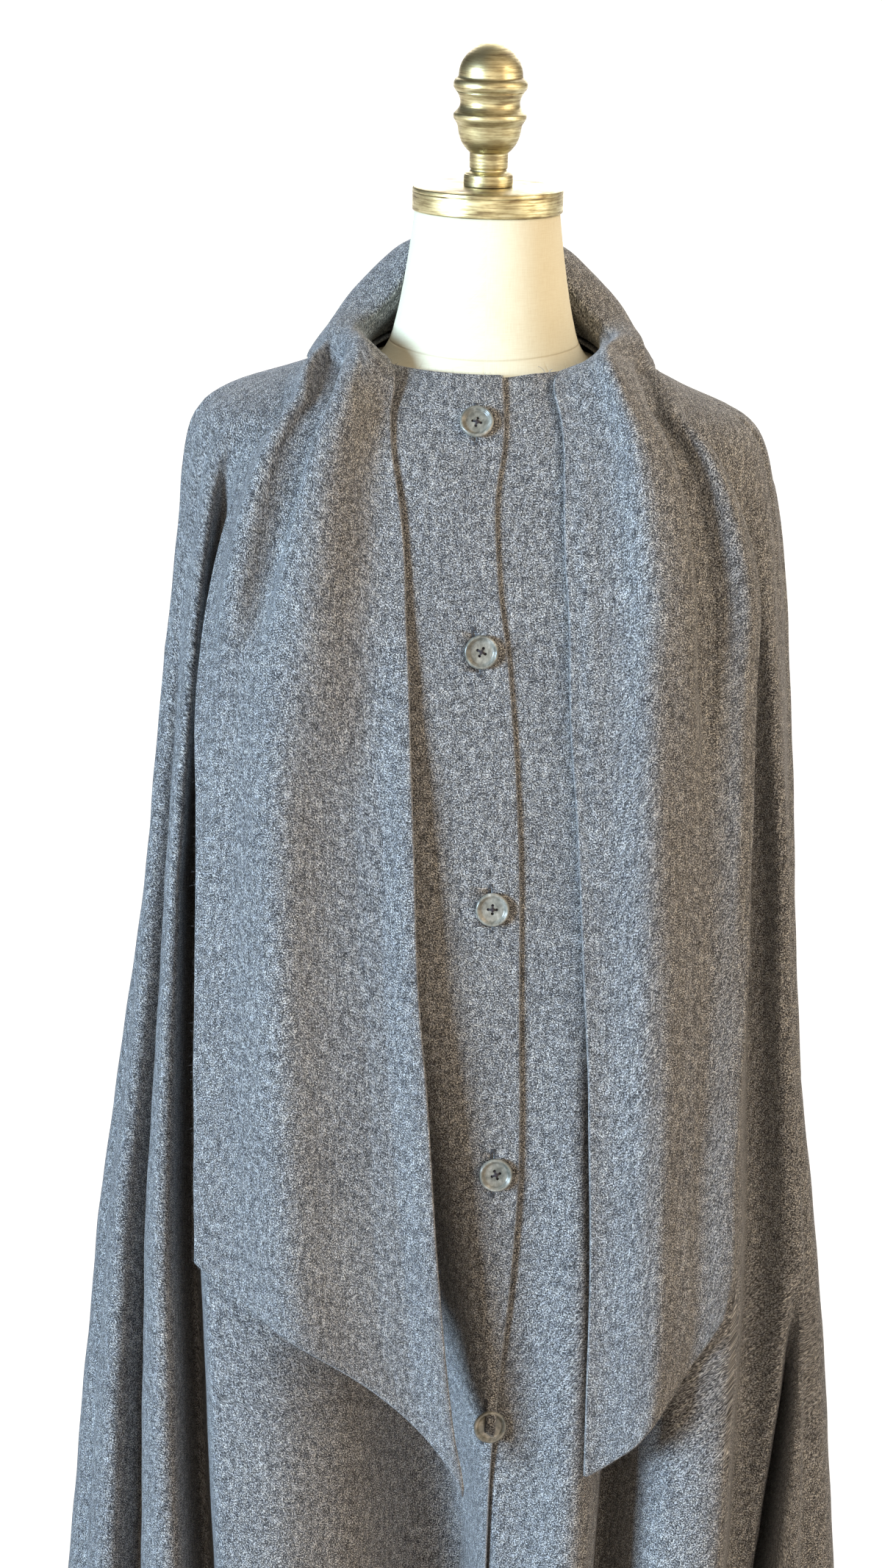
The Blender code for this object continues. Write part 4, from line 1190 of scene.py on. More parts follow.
# %% The scarf's two halves
def lifted_points(turn, level, lift, upright, inward, aside):
    """Points lifted off the envelope, straight out of it or with less of the sideways part or more upright,
    and moved in to the neck. What the changed way lacks in distance straight out is added."""
    point, out = envelope(turn, level)
    to_neck = unit(point * np.array([-1, -1, 0]))
    way = np.stack([out[..., 0] * aside, out[..., 1], out[..., 2] + upright], -1)
    moved = unit(way) * lift[..., None]
    lacking = np.maximum(np.minimum(lift, FLAT_LIFT) - (moved * out).sum(-1), 0)
    return point + moved + out * lacking[..., None] + to_neck * inward[..., None]


def build_scarf(name, collar, end, slant_power, swells, creases, side):
    """One half of the scarf; side is 1 for the wearer's left and -1 for the right. Each number of the
    sections is a smooth curve of the distance walked down the middle of the cloth."""
    sections = scarf_sections(collar, end, slant_power, swells)
    distance = walked(lifted_points(*sections).mean(axis=1)[:, None], 0)[:, 0]
    at = np.concatenate([[0, SEAM_STEP], np.linspace(0, distance[-1], SCARF_DOWN)[2:]])
    smooth = [np.stack([curve(distance, column, at) for column in each.T], 1) for each in sections]
    points = lifted_points(*smooth)
    points[:2, :, 0] = np.array([[SEAM_GAP / 2], [SEAM_GAP / 2 + SEAM_STEP]])
    points[:2, :, 1:] = points[0, :, 1:]
    across = np.linspace(0, 1, SCARF_ACROSS)
    down = np.interp(at, distance, np.arange(len(distance))) - len(collar["turn"])
    fine = ridges(creases, across[None, :], down[:, None])
    fine += WAVE_HEIGHT * unevenness(across[None, :] * SCARF_WIDE, at[:, None], SCARF_WAVE_LENGTH,
                                     SCARF_SEED + side)
    fine = np.maximum(fine, LEAST_LIFT - smooth[2])
    if side < 0:
        points = points[:, ::-1] * np.array([-1, 1, 1])
        fine = fine[:, ::-1]
    fine[:len(SEAM_FLAT)] *= np.array(SEAM_FLAT)[:, None]
    points = points + grid_normals(points) * fine[..., None]
    return cloth_wall(name, points, SCARF_WOOL, WOOL_LOOK, SCARF_ACROSS // 2)


SCARF_RIGHT = build_scarf("scarf_right", RIGHT_COLLAR, RIGHT_END, RIGHT_SLANT_POWER, RIGHT_SWELLS,
                          RIGHT_CREASES, -1)
SCARF_LEFT = build_scarf("scarf_left", LEFT_COLLAR, LEFT_END, LEFT_SLANT_POWER, LEFT_SWELLS,
                         LEFT_CREASES, 1)

# %% [markdown]
# ## The buttons
#
# Each button is turned from a plate of horn: a wide rounded rim, a small step, a shallow dish and four holes.
# A Screw modifier on a profile would turn it too; here the profile is carried round as one array, and one
# Boolean drills the holes, with cutters that have their middle line on each hole's.

# %% Turned pieces and threads
def turned(profile, steps):
    """A profile of radii and heights carried round the Z axis, from the pole at its top to the pole at its
    bottom: x = r sin a, y = -r cos a. Returns the vertices, the quads and the triangles at the poles."""
    profile = np.asarray(profile, float)
    angle = np.linspace(0, 2 * math.pi, steps, endpoint=False)
    radius, height = profile[1:-1, :1], profile[1:-1, 1:]
    ring = np.stack([radius * np.sin(angle), -radius * np.cos(angle), height + 0 * angle], -1)
    poles = np.array([[0, 0, profile[0, 1]], [0, 0, profile[-1, 1]]])
    index = np.arange(ring.shape[0] * steps).reshape(-1, steps)
    caps = pole_caps(index, index.size, index.size + 1)
    return np.concatenate([ring.reshape(-1, 3), poles]), grid_quads(index, True), caps


def rounded(points, steps=4):
    """A profile with each point inside it replaced by a short arc: a quadratic curve between points on the
    two stretches beside it, at the distance that the point's third value gives."""
    made = [points[0][:2]]
    for before, corner, after in zip(points, points[1:], points[2:]):
        place, reach = np.array(corner[:2]), corner[2]
        start = place + unit(np.array(before[:2]) - place) * reach
        end = place + unit(np.array(after[:2]) - place) * reach
        share = np.linspace(0, 1, steps)[:, None] if reach else np.zeros((1, 1))
        made += ((1 - share) ** 2 * start + 2 * share * (1 - share) * place + share ** 2 * end).tolist()
    return made + [points[-1][:2]]


# %% Many threads as one mesh
def thread_arrays(paths, radius, up=(0, 0, 1), sides=6):
    """Many threads at once: round each point of each path, a ring of the radius in the two directions across
    the path, and a pole at both ends. The paths are an array of threads, points and three coordinates."""
    paths = np.asarray(paths, float)
    threads, count = paths.shape[:2]
    ahead = unit(np.gradient(paths, axis=1))
    across = unit(np.cross(ahead, np.broadcast_to(up, paths.shape)))
    over = np.cross(across, ahead)
    angle = np.linspace(0, 2 * math.pi, sides, endpoint=False)[:, None]
    reach = np.broadcast_to(radius, (threads, count))[..., None, None]
    round_it = across[:, :, None] * np.cos(angle) + over[:, :, None] * np.sin(angle)
    rings = paths[:, :, None] + reach * round_it
    vertices = np.concatenate([rings.reshape(threads, -1, 3), paths[:, [0, -1]]], 1)
    index = np.arange(count * sides).reshape(count, sides)
    quads, caps = grid_quads(index, True), pole_caps(index, index.size, index.size + 1)
    move = (np.arange(threads) * vertices.shape[1])[:, None, None]
    return vertices.reshape(-1, 3), (quads + move).reshape(-1, 4), (caps + move).reshape(-1, 3)


def joined(pieces):
    """Several sets of vertices, quads and triangles as one."""
    starts = np.cumsum([0] + [len(vertices) for vertices, _, _ in pieces])
    return (np.concatenate([vertices for vertices, _, _ in pieces]),
            np.concatenate([quads + start for (_, quads, _), start in zip(pieces, starts)]),
            np.concatenate([caps + start for (_, _, caps), start in zip(pieces, starts)]))


# %% The button's shape
BUTTON_RADIUS = 0.0114
BUTTON_THICK = 0.0046
HOLE_RADIUS = 0.0010
HOLE_CIRCLE = 0.0040 / math.sqrt(2)
HOLE_TURN = math.radians(20)
HOLES = 4
BUTTON_STEPS = 96
DRILL_STEPS = 20
# Each hole is wider above its middle: radius in hole radii and height in button thicknesses.
DRILL_PROFILE = [(0.00, 2.00), (1.35, 2.00), (1.35, 0.60), (1.00, 0.50), (1.00, -1.00), (0.00, -1.00)]
# Radius and height, as shares of the button's radius and thickness.
BUTTON_PROFILE = [
    (0.00, 0.500), (0.30, 0.500), (0.54, 0.520), (0.66, 0.560), (0.715, 0.620), (0.735, 0.700),
    (0.750, 0.770), (0.775, 0.800), (0.795, 0.835), (0.815, 0.915), (0.850, 0.975), (0.890, 1.000),
    (0.930, 0.975), (0.965, 0.900), (0.990, 0.780), (1.000, 0.620), (0.990, 0.460), (0.960, 0.310),
    (0.900, 0.180), (0.800, 0.080), (0.660, 0.020), (0.000, 0.000),
]


def horn():
    """Grey-olive horn: pale streaks and clouds in a translucent, polished plate."""
    look, tree, shader = new_look("horn", 0.22)
    place = object_place(tree)
    streaks = noise(tree, turned_vector(tree, place, 35, (1, 0.25, 0.6)), 420, 3.0, 0.6)
    clouds = noise(tree, place, 70, 2.0, 0.5)
    total = sums(tree, streaks, 0.45, clouds, 0.55)
    colour = ramp(tree, total, [
        (0.38, (0.105, 0.108, 0.092)), (0.47, (0.200, 0.200, 0.170)), (0.55, (0.300, 0.295, 0.255)),
        (0.66, (0.560, 0.545, 0.480)),
    ])
    connect(tree, shader, {
        "Base Color": colour, "Subsurface Weight": 0.12, "Subsurface Radius": (0.003, 0.0025, 0.002),
        "Coat Weight": 0.35, "Coat Roughness": 0.12,
    })
    bumped(tree, shader, streaks, 0.0001, 0.5)
    return look


def drilled_button():
    """The button about the origin, face up, with its four holes cut. Returns its vertices and faces."""
    blank_shape = turned(np.array(BUTTON_PROFILE) * (BUTTON_RADIUS, BUTTON_THICK), BUTTON_STEPS)
    vertices, quads, caps = turned(np.array(DRILL_PROFILE) * (HOLE_RADIUS, BUTTON_THICK), DRILL_STEPS)
    drill_shapes = []
    for i in range(HOLES):
        angle = HOLE_TURN + math.pi / 4 + i * math.pi / 2
        middle = (HOLE_CIRCLE * math.cos(angle), HOLE_CIRCLE * math.sin(angle), 0)
        drill_shapes.append((vertices + middle, quads, caps))
    made = []
    for vertices, quads, caps in (blank_shape, joined(drill_shapes)):
        mesh = bpy.data.meshes.new("button_shape")
        mesh.from_pydata(vertices.tolist(), [], quads.tolist() + caps.tolist())
        made.append(added("button_shape", mesh))
    blank, drills = made
    cut = blank.modifiers.new("holes", "BOOLEAN")
    cut.object = drills
    bpy.context.view_layer.update()
    finished = bpy.data.meshes.new_from_object(blank.evaluated_get(bpy.context.evaluated_depsgraph_get()))
    for each in made:
        bpy.data.objects.remove(each)
    return finished


# %% Buttons on the coat
HORN_LOOK = horn()
BUTTON_SHARP = math.radians(50)
# How far each button is turned in its own plane, in degrees, and how it leans: the fifth is half through its
# buttonhole, so its left side stands out and its right side goes in.
BUTTON_TURNS = (12, 0, 24, 47, 6)
BUTTON_LEANS = (0.0, 0.0, 0.0, 0.0, 9.0)
LEAN_LIFT = 0.5


def button_frames():
    """For each button its middle and its three directions: across, upwards and straight out of the coat."""
    frames = []
    for x, z in zip(BUTTONS["x"], BUTTONS["z"]):
        turn, level = turn_on_front(x, z)
        out = envelope(turn, level)[1]
        base = coat_points(place_of(turn, level), level, WOOL / 2 + LAYER_GAP)
        across = unit(np.cross([0, 0, 1], out))
        frames.append((base, across, np.cross(out, across), out))
    return frames


def build_buttons():
    """The five buttons, each a copy of the drilled one, turned and placed in its mesh."""
    shape = drilled_button()
    frames = []
    for number, (base, across, above, out) in enumerate(button_frames(), start=1):
        lean = math.radians(BUTTON_LEANS[number - 1])
        out, across = (out * math.cos(lean) + across * math.sin(lean),
                       across * math.cos(lean) - out * math.sin(lean))
        base = base + out * math.sin(lean) * BUTTON_RADIUS * LEAN_LIFT
        spin = math.radians(BUTTON_TURNS[number - 1])
        right = across * math.cos(spin) + above * math.sin(spin)
        up = above * math.cos(spin) - across * math.sin(spin)
        mesh = shape.copy()
        columns = np.stack([right, up, out, base], 1)
        mesh.transform(Matrix([(*row,) for row in columns] + [(0, 0, 0, 1)]))
        mesh.shade_smooth()
        mesh.set_sharp_from_angle(angle=BUTTON_SHARP)
        mesh.materials.clear()
        mesh.materials.append(HORN_LOOK)
        button = added(f"button_{number}_horn", mesh)
        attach(button, "root")
        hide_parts(f"button_{number}")
        frames.append((base, right, up, out))
    print(len(frames), "buttons,", round(BUTTON_RADIUS * 2 * 1000, 1), "mm across,",
          len(shape.polygons), "faces each")
    return frames


BUTTON_FRAMES = build_buttons()

# %% [markdown]
# ## The dress form's cover
#
# The form is padded and covered with close linen in panels. Their seams pull in a little, so the body is one
# smooth surface with shallow grooves: at the base of the neck, down the front, back and sides, and along the
# princess lines. Only the neck shows, but the whole body is there for other views.

# %% The linen torso
TORSO = table("side front back z_side z_front z_back square", [
    (0.0492, 0.0492, 0.0492, 1.4980, 1.4980, 1.4980, 2.00),
    (0.0515, 0.0515, 0.0510, 1.4780, 1.4780, 1.4800, 2.00),
    (0.0555, 0.0555, 0.0540, 1.4500, 1.4500, 1.4560, 2.00),
    (0.0600, 0.0600, 0.0570, 1.4260, 1.4240, 1.4370, 2.00),
    (0.0645, 0.0650, 0.0590, 1.4100, 1.4060, 1.4240, 2.00),
    (0.0750, 0.0720, 0.0610, 1.3965, 1.3930, 1.4135, 2.00),
    (0.0990, 0.0820, 0.0730, 1.3895, 1.3780, 1.4040, 2.00),
    (0.1370, 0.0970, 0.0890, 1.3765, 1.3570, 1.3880, 2.05),
    (0.1660, 0.1090, 0.1020, 1.3620, 1.3350, 1.3660, 2.10),
    (0.1790, 0.1180, 0.1120, 1.3450, 1.3110, 1.3400, 2.10),
    (0.1780, 0.1230, 0.1180, 1.3200, 1.2850, 1.3080, 2.10),
    (0.1680, 0.1270, 0.1180, 1.2850, 1.2600, 1.2700, 2.10),
    (0.1540, 0.1260, 0.1140, 1.2200, 1.2100, 1.2200, 2.10),
    (0.1390, 0.1110, 0.1040, 1.1500, 1.1500, 1.1500, 2.10),
    (0.1240, 0.0960, 0.0940, 1.0700, 1.0700, 1.0700, 2.10),
    (0.1340, 0.1000, 0.1060, 1.0000, 1.0000, 1.0000, 2.10),
    (0.1580, 0.1080, 0.1260, 0.9000, 0.9000, 0.9000, 2.10),
    (0.1680, 0.1110, 0.1340, 0.8400, 0.8400, 0.8400, 2.10),
    (0.1670, 0.1100, 0.1330, 0.8060, 0.8060, 0.8060, 2.10),
    (0.1610, 0.1040, 0.1270, 0.8000, 0.8000, 0.8000, 2.10),
])
NECK_SEAM = 4.0
SEAM_TURNS = (0.0, 0.42, 1.0, 1.58, 2.0, 2.42, 3.0, 3.58, 4.0)
GROOVE_DEPTH = 0.0003
GROOVE_WIDTH = 0.0006
# How many columns and rows there are, and how closely they crowd at the seams: reach and extra weight.
TORSO_COLUMNS, TORSO_ROWS = 260, 210
COLUMN_CROWDING = (0.02, 7.0)
ROW_CROWDING = (0.10, 14.0)

# %% The linen
def linen():
    """Cream linen: two crossed sets of threads with slubs, a matt surface and a faint warm unevenness."""
    look, tree, shader = new_look("cream_linen", 0.88, specular=0.2)
    cloth = cloth_place(tree)
    warp = noise(tree, turned_vector(tree, cloth, 0, (1, 0.07, 1)), 1500, 2.0, 0.6)
    weft = noise(tree, turned_vector(tree, cloth, 0, (0.07, 1, 1)), 1500, 2.0, 0.6)
    weave = sums(tree, warp, 0.5, weft, 0.5)
    clouds = noise(tree, cloth, 22, 2.0, 0.5)
    total = sums(tree, weave, 0.7, clouds, 0.3)
    colour = ramp(tree, total, [
        (0.34, (0.770, 0.710, 0.510)), (0.46, (0.830, 0.780, 0.585)), (0.56, (0.865, 0.825, 0.635)),
        (0.68, (0.895, 0.865, 0.680)),
    ])
    colour = mixed(tree, edge_share(tree, 0.40), colour, (0.46, 0.36, 0.22, 1))
    connect(tree, shader, {"Base Color": colour, "Sheen Weight": 0.10})
    bumped(tree, shader, weave, 0.0002, 0.2)
    return look


# %% The torso and neck
def build_torso():
    """The torso and neck: the levels' sections, pulled in at the seams by bells of the distance to them."""
    turn = crowded(0, 4, TORSO_COLUMNS + 1, SEAM_TURNS, *COLUMN_CROWDING)[:-1]
    level = crowded(0, len(TORSO["side"]) - 1, TORSO_ROWS, [NECK_SEAM], *ROW_CROWDING)
    points = section_point(TORSO, turn[None, :], level[:, None])
    along = np.roll(points, -1, axis=1) - np.roll(points, 1, axis=1)
    out = unit(np.cross(np.gradient(points, axis=0), along))
    down = walked(points, 0)
    seam_down = np.stack([np.interp(NECK_SEAM, level, column) for column in down.T])
    groove = np.exp(-((down - seam_down) / GROOVE_WIDTH) ** 2)
    quarter = np.linalg.norm(points[..., :2], axis=-1) * math.pi / 2
    for seam in SEAM_TURNS[:-1]:
        away = np.abs((turn - seam + 2) % 4 - 2)[None, :] * quarter
        groove = np.maximum(groove, np.exp(-(away / GROOVE_WIDTH) ** 2) * eased(level - NECK_SEAM)[:, None])
    points = points - out * (GROOVE_DEPTH * groove)[..., None]
    index = np.arange(TORSO_ROWS * TORSO_COLUMNS).reshape(TORSO_ROWS, TORSO_COLUMNS)
    quads, caps = grid_quads(index, True), pole_caps(index, index.size, index.size + 1)
    vertices = np.concatenate([points.reshape(-1, 3), points[[0, -1]].mean(axis=1)])
    round_it = walked(np.concatenate([points, points[:, :1]], 1), 1)
    uv = np.stack([round_it, -np.concatenate([down, down[:, :1]], 1)], -1)
    corner_uv = uv.reshape(-1, 2)[grid_quads(np.arange(round_it.size).reshape(round_it.shape))]
    all_uv = np.concatenate([corner_uv.reshape(-1, 2), vertices[caps][..., :2].reshape(-1, 2)])
    edge = np.concatenate([groove.ravel(), [0, 0]])
    new_piece("form_torso_linen", vertices, [quads, caps], linen(), "form_torso", all_uv, edge)
    print("the torso has", len(quads), "faces and", len(SEAM_TURNS) - 1, "seams below the neck")


build_torso()

# %% [markdown]
# ## The brass cap and finial
#
# Both are turned on a lathe and given an old finish: brown lacquer in the fine rings that the tool left, and
# bare brass where hands have rubbed it. So the colour is a noise stretched round the axis, which makes rings
# of uneven length, and its roughness and bump follow the same rings.

# %% Turned brass
CAP_TOP = 1.5150
CAP_RADIUS = 0.0510
CAP_HEIGHT = 0.0165
# Radius, height above the cap and how far each corner is rounded.
FINIAL_PROFILE = [
    (0.0000, 0.0960, 0), (0.0062, 0.0955, 0.0030), (0.0122, 0.0916, 0.0030), (0.0172, 0.0872, 0.0030),
    (0.0206, 0.0812, 0.0030), (0.0216, 0.0760, 0.0020), (0.0217, 0.0728, 0.0012), (0.0240, 0.0712, 0.0008),
    (0.0250, 0.0690, 0.0010), (0.0250, 0.0660, 0.0010), (0.0236, 0.0640, 0.0010), (0.0218, 0.0618, 0.0020),
    (0.0200, 0.0570, 0.0020), (0.0204, 0.0530, 0.0015), (0.0228, 0.0500, 0.0010), (0.0246, 0.0484, 0.0010),
    (0.0247, 0.0455, 0.0010), (0.0232, 0.0432, 0.0010), (0.0218, 0.0410, 0.0010), (0.0207, 0.0340, 0.0030),
    (0.0186, 0.0286, 0.0025), (0.0150, 0.0242, 0.0012), (0.0130, 0.0224, 0.0006), (0.0129, 0.0122, 0.0008),
    (0.0120, 0.0112, 0.0004), (0.0126, 0.0098, 0.0006), (0.0155, 0.0088, 0.0015), (0.0166, 0.0070, 0.0012),
    (0.0166, 0.0000, 0.0003), (0.0000, 0.0000, 0),
]
CAP_PROFILE = [
    (0.0000, CAP_HEIGHT, 0), (0.0485, CAP_HEIGHT, 0.0010), (0.0506, CAP_HEIGHT - 0.0008, 0.0006),
    (CAP_RADIUS, CAP_HEIGHT - 0.0024, 0.0006), (CAP_RADIUS, CAP_HEIGHT - 0.0034, 0.0002),
    (0.0506, CAP_HEIGHT - 0.0038, 0.0002), (CAP_RADIUS, CAP_HEIGHT - 0.0042, 0.0002),
    (CAP_RADIUS, 0.0006, 0.0003), (0.0504, 0.0000, 0.0003), (0.0000, 0.0000, 0),
]

# %% Brass and black metal
def antique_brass():
    """Olive-gold brass with brown rings where the lacquer lies in the tool's marks, and brighter worn
    patches.
    """
    look, tree, shader = new_look("antique_brass", 0.3, 1.0)
    place = object_place(tree)
    rings = noise(tree, stretched(tree, place, (0.05, 0.05, 1)), 900, 3.0, 0.65)
    patches = noise(tree, stretched(tree, place, (1, 1, 2.5)), 60, 3.0, 0.6)
    total = sums(tree, rings, 0.55, patches, 0.45)
    colour = ramp(tree, total, [
        (0.36, (0.190, 0.140, 0.072)), (0.46, (0.370, 0.305, 0.160)), (0.55, (0.550, 0.485, 0.280)),
        (0.68, (0.690, 0.630, 0.410)),
    ])
    rough = ramp(tree, total, [(0.35, (0.50, 0.50, 0.50)), (0.65, (0.30, 0.30, 0.30))])
    connect(tree, shader, {"Base Color": colour, "Roughness": rough})
    bumped(tree, shader, rings, 0.00012, 0.6)
    return look


def dark_metal():
    """Black-painted metal with the fine grain of a powder coat."""
    look, tree, shader = new_look("black_powder_coat", 0.5)
    grain = noise(tree, object_place(tree), 1400, 2.0, 0.5)
    colour = ramp(tree, grain, [(0.35, (0.018, 0.018, 0.019)), (0.65, (0.034, 0.034, 0.036))])
    connect(tree, shader, {"Base Color": colour})
    bumped(tree, shader, grain, 0.0003, 0.5)
    return look


# %% The cap and the finial
def lathe(name, profile, steps, look, node_name, bottom):
    """A turned piece in place of its plain solid, its profile's corners rounded."""
    vertices, quads, caps = turned(rounded(profile), steps)
    new_piece(name, vertices + (0, 0, bottom), [quads, caps], look, node_name)
    print(f"{name}: {len(quads)} quads round {steps} steps")


BRASS = antique_brass()
lathe("neck_cap_brass", CAP_PROFILE, 192, BRASS, "neck_cap", CAP_TOP - CAP_HEIGHT)
lathe("finial_brass", FINIAL_PROFILE, 144, BRASS, "finial", CAP_TOP + SEAM_GAP)

# %% [markdown]
# ## The stand
#
# The coat hides how the form stands, so the stand is a plain one of the usual kind: a steel tube into a
# round, weighted foot with a soft edge.

# %% Pole and foot
TORSO_BOTTOM = 0.800
POLE_RADIUS = 0.0160
FOOT_RADIUS = 0.190
FOOT_HEIGHT = 0.022
POLE_HEIGHT = TORSO_BOTTOM - FOOT_HEIGHT - 2 * SEAM_GAP
POLE_PROFILE = [
    (0.0, POLE_HEIGHT, 0), (POLE_RADIUS, POLE_HEIGHT, 0.0008), (POLE_RADIUS, 0.0, 0.0004), (0.0, 0.0, 0),
]
FOOT_PROFILE = [
    (0.0000, FOOT_HEIGHT, 0), (0.0300, FOOT_HEIGHT, 0.0020), (0.0450, 0.0185, 0.0060),
    (0.1200, 0.0150, 0.0100), (FOOT_RADIUS - 0.0060, 0.0120, 0.0040), (FOOT_RADIUS, 0.0080, 0.0030),
    (FOOT_RADIUS, 0.0000, 0.0010), (0.0000, 0.0000, 0),
]
DARK_METAL = dark_metal()
lathe("pole_tube", POLE_PROFILE, 64, DARK_METAL, "pole", FOOT_HEIGHT + SEAM_GAP)
lathe("foot_weight", FOOT_PROFILE, 160, DARK_METAL, "foot", 0.0)

# %% [markdown]
# ## Sewing and loose threads
#
# A machine row holds down the scarf's outer edge, blanket stitches guard the buttonholes, and crossed threads
# hold the buttons. Each stitch could be a curve with a bevel, but hundreds of them are lighter as one mesh of
# small tubes. A stitch is a short path over the cloth: its ends dip into it and its middle stands proud. The
# raw edges shed short fibres, and two loose ends stick out where the scarf starts.

# %% Thread and its path over cloth
THREAD_RADIUS = 0.00022
STITCH_POINTS = 5
STITCH_SIDES = 5
DIP = 0.0005
# How many radii the middle of a stitch's path stands over the cloth.
STITCH_PROUD = 0.6


def sewing_thread(name, colour):
    """Twisted thread of one colour, a little uneven."""
    look, tree, shader = new_look(name, 0.7, specular=0.25)
    dark = tuple(part * 0.7 for part in colour)
    light = tuple(part * 1.3 for part in colour)
    twist = noise(tree, object_place(tree), 1500, 2.0, 0.6)
    connect(tree, shader, {"Base Color": ramp(tree, twist, [(0.35, dark), (0.65, light)])})
    return look


def on_grid(points, row, column):
    """Points and outward directions of a grid at fractional rows and columns, blended between its four
    nearest points by the product of the shares along rows and columns."""
    out = grid_normals(points)
    row, column = np.broadcast_arrays(np.asarray(row, float), np.asarray(column, float))
    i = np.clip(row.astype(int), 0, points.shape[0] - 2)
    j = np.clip(column.astype(int), 0, points.shape[1] - 2)
    s, t = (row - i)[..., None], (column - j)[..., None]
    place, ahead = (each[i, j] * (1 - s) * (1 - t) + each[i + 1, j] * s * (1 - t)
                    + each[i, j + 1] * (1 - s) * t + each[i + 1, j + 1] * s * t for each in (points, out))
    return place, unit(ahead)


def stitched(name, starts, ends, outs, height, look, slot, radius=THREAD_RADIUS):
    """Stitches from starts to ends, which lie on the cloth's middle surface: each rises to the height above
    it as a half sine, from a dip below that height at both ends."""
    share = np.linspace(0, 1, STITCH_POINTS)[None, :, None]
    rise = height - DIP + (DIP + radius * STITCH_PROUD) * np.sin(share * math.pi)
    paths = starts[:, None] * (1 - share) + ends[:, None] * share + outs[:, None] * rise
    up = np.broadcast_to(outs[:, None], paths.shape)
    vertices, quads, caps = thread_arrays(paths, radius, up, STITCH_SIDES)
    new_piece(name, vertices, [quads, caps], look)
    print(f"{name}: {len(starts)} stitches, {2 * len(quads) + len(caps)} triangles")


# %% The scarf's machine rows
ROW_INSET = 0.0035
STITCH_PITCH = 0.0033
STITCH_SHARE = 0.82
GREY_THREAD = sewing_thread("grey_thread", (0.125, 0.127, 0.132))


def build_machine_row(name, outer_column):
    """A row of stitches a fixed distance inside the scarf's outer edge: the column there is read from the
    distance walked in from the edge, and the row is divided evenly by the distance walked down."""
    points = GRIDS[name]
    inward, columns = walked(points, 1), np.arange(points.shape[1])
    if outer_column:
        inward, columns = (inward[:, -1:] - inward)[:, ::-1], columns[::-1]
    column = np.array([np.interp(ROW_INSET, reach, columns) for reach in inward])
    line, _ = on_grid(points, np.arange(len(points)), column)
    down = walked(line[:, None], 0)[:, 0]
    begin = np.arange(STITCH_PITCH, down[-1] - 2 * STITCH_PITCH, STITCH_PITCH)
    rows = np.interp(np.stack([begin, begin + STITCH_PITCH * STITCH_SHARE]), down, np.arange(len(down)))
    (starts, outs), (ends, _) = (on_grid(points, row, np.interp(row, np.arange(len(column)), column))
                                 for row in rows)
    stitched(f"{name}_machine_row", starts, ends, outs, SCARF_WOOL / 2, GREY_THREAD, "scarf_wool")


build_machine_row("scarf_right", 0)
build_machine_row("scarf_left", 1)

# %% The buttonholes' stitches
LIP_PITCH = 0.0010
LIP_REACH = 0.0021
LIP_THREAD = 0.00033
# Where a lip's stitches start, and how much their lengths vary.
LIP_START = 0.0001
LIP_SPREAD = (0.85, 1.15)
LIP_SEED = 5
# The bar across each end: how many threads, where they lie past the end, and half their length.
BAR_THREADS = 5
BAR_SPAN = (0.0002, 0.0016)
BAR_REACH = LIP_REACH * 0.9
DARK_GREY_THREAD = sewing_thread("dark_grey_thread", (0.060, 0.061, 0.066))


def build_buttonhole_stitches():
    """Blanket stitches beside the slits: from each lip outward along the cloth, an even distance apart down
    the slit, and a bar of threads across each end."""
    points = GRIDS["front_right"]
    right, out = unit(np.gradient(points, axis=1)), grid_normals(points)
    chance = np.random.default_rng(LIP_SEED)
    starts, ends, outs = [], [], []
    for column, first, last, lip in SLITS:
        rows = np.arange(first, last + 1)
        sides = (points[rows, column], np.concatenate([points[[first], column], lip, points[[last], column]]))
        down = walked(sides[0][:, None], 0)[:, 0]
        at = np.arange(LIP_PITCH / 2, down[-1], LIP_PITCH)
        for lip_line, way in zip(sides, (-1, 1)):
            place, across, ahead = (np.stack([np.interp(at, down, part) for part in each.T], 1)
                                    for each in (lip_line, right[rows, column] * way, out[rows, column]))
            length = LIP_REACH * chance.uniform(*LIP_SPREAD, (len(at), 1))
            starts.append(place + across * LIP_START)
            ends.append(place + across * length)
            outs.append(ahead)
        for row, way in ((first, -1), (last, 1)):
            downward = unit(points[row + 1, column] - points[row, column]) * way
            shift = downward * np.linspace(*BAR_SPAN, BAR_THREADS)[:, None]
            starts.append(points[row, column] - right[row, column] * BAR_REACH + shift)
            ends.append(points[row, column] + right[row, column] * BAR_REACH + shift)
            outs.append(np.repeat(out[[row], column], BAR_THREADS, 0))
    stitched("buttonhole_stitches", *(np.concatenate(each) for each in (starts, ends, outs)),
             WOOL / 2, DARK_GREY_THREAD, "coat_wool", LIP_THREAD)


build_buttonhole_stitches()

# %% The buttons' threads
CROSS_STRANDS = (-0.00045, 0.0, 0.00045)
CROSS_RADIUS = 0.00030
CROSS_POINTS = 9
SHANK_DEPTH = 0.0036
# The share of a strand's path inside each hole, how flat its arch is, how high it lies over the dish, and how
# much higher the second bundle crosses the first.
HOLE_SHARE = 0.14
ARCH_POWER = 0.35
DISH_HEIGHT = BUTTON_THICK * 0.50
STRAND_OVER = 0.0004
CROSSING_OVER = 0.0003
MAUVE_THREAD = sewing_thread("mauve_grey_thread", (0.045, 0.037, 0.042))


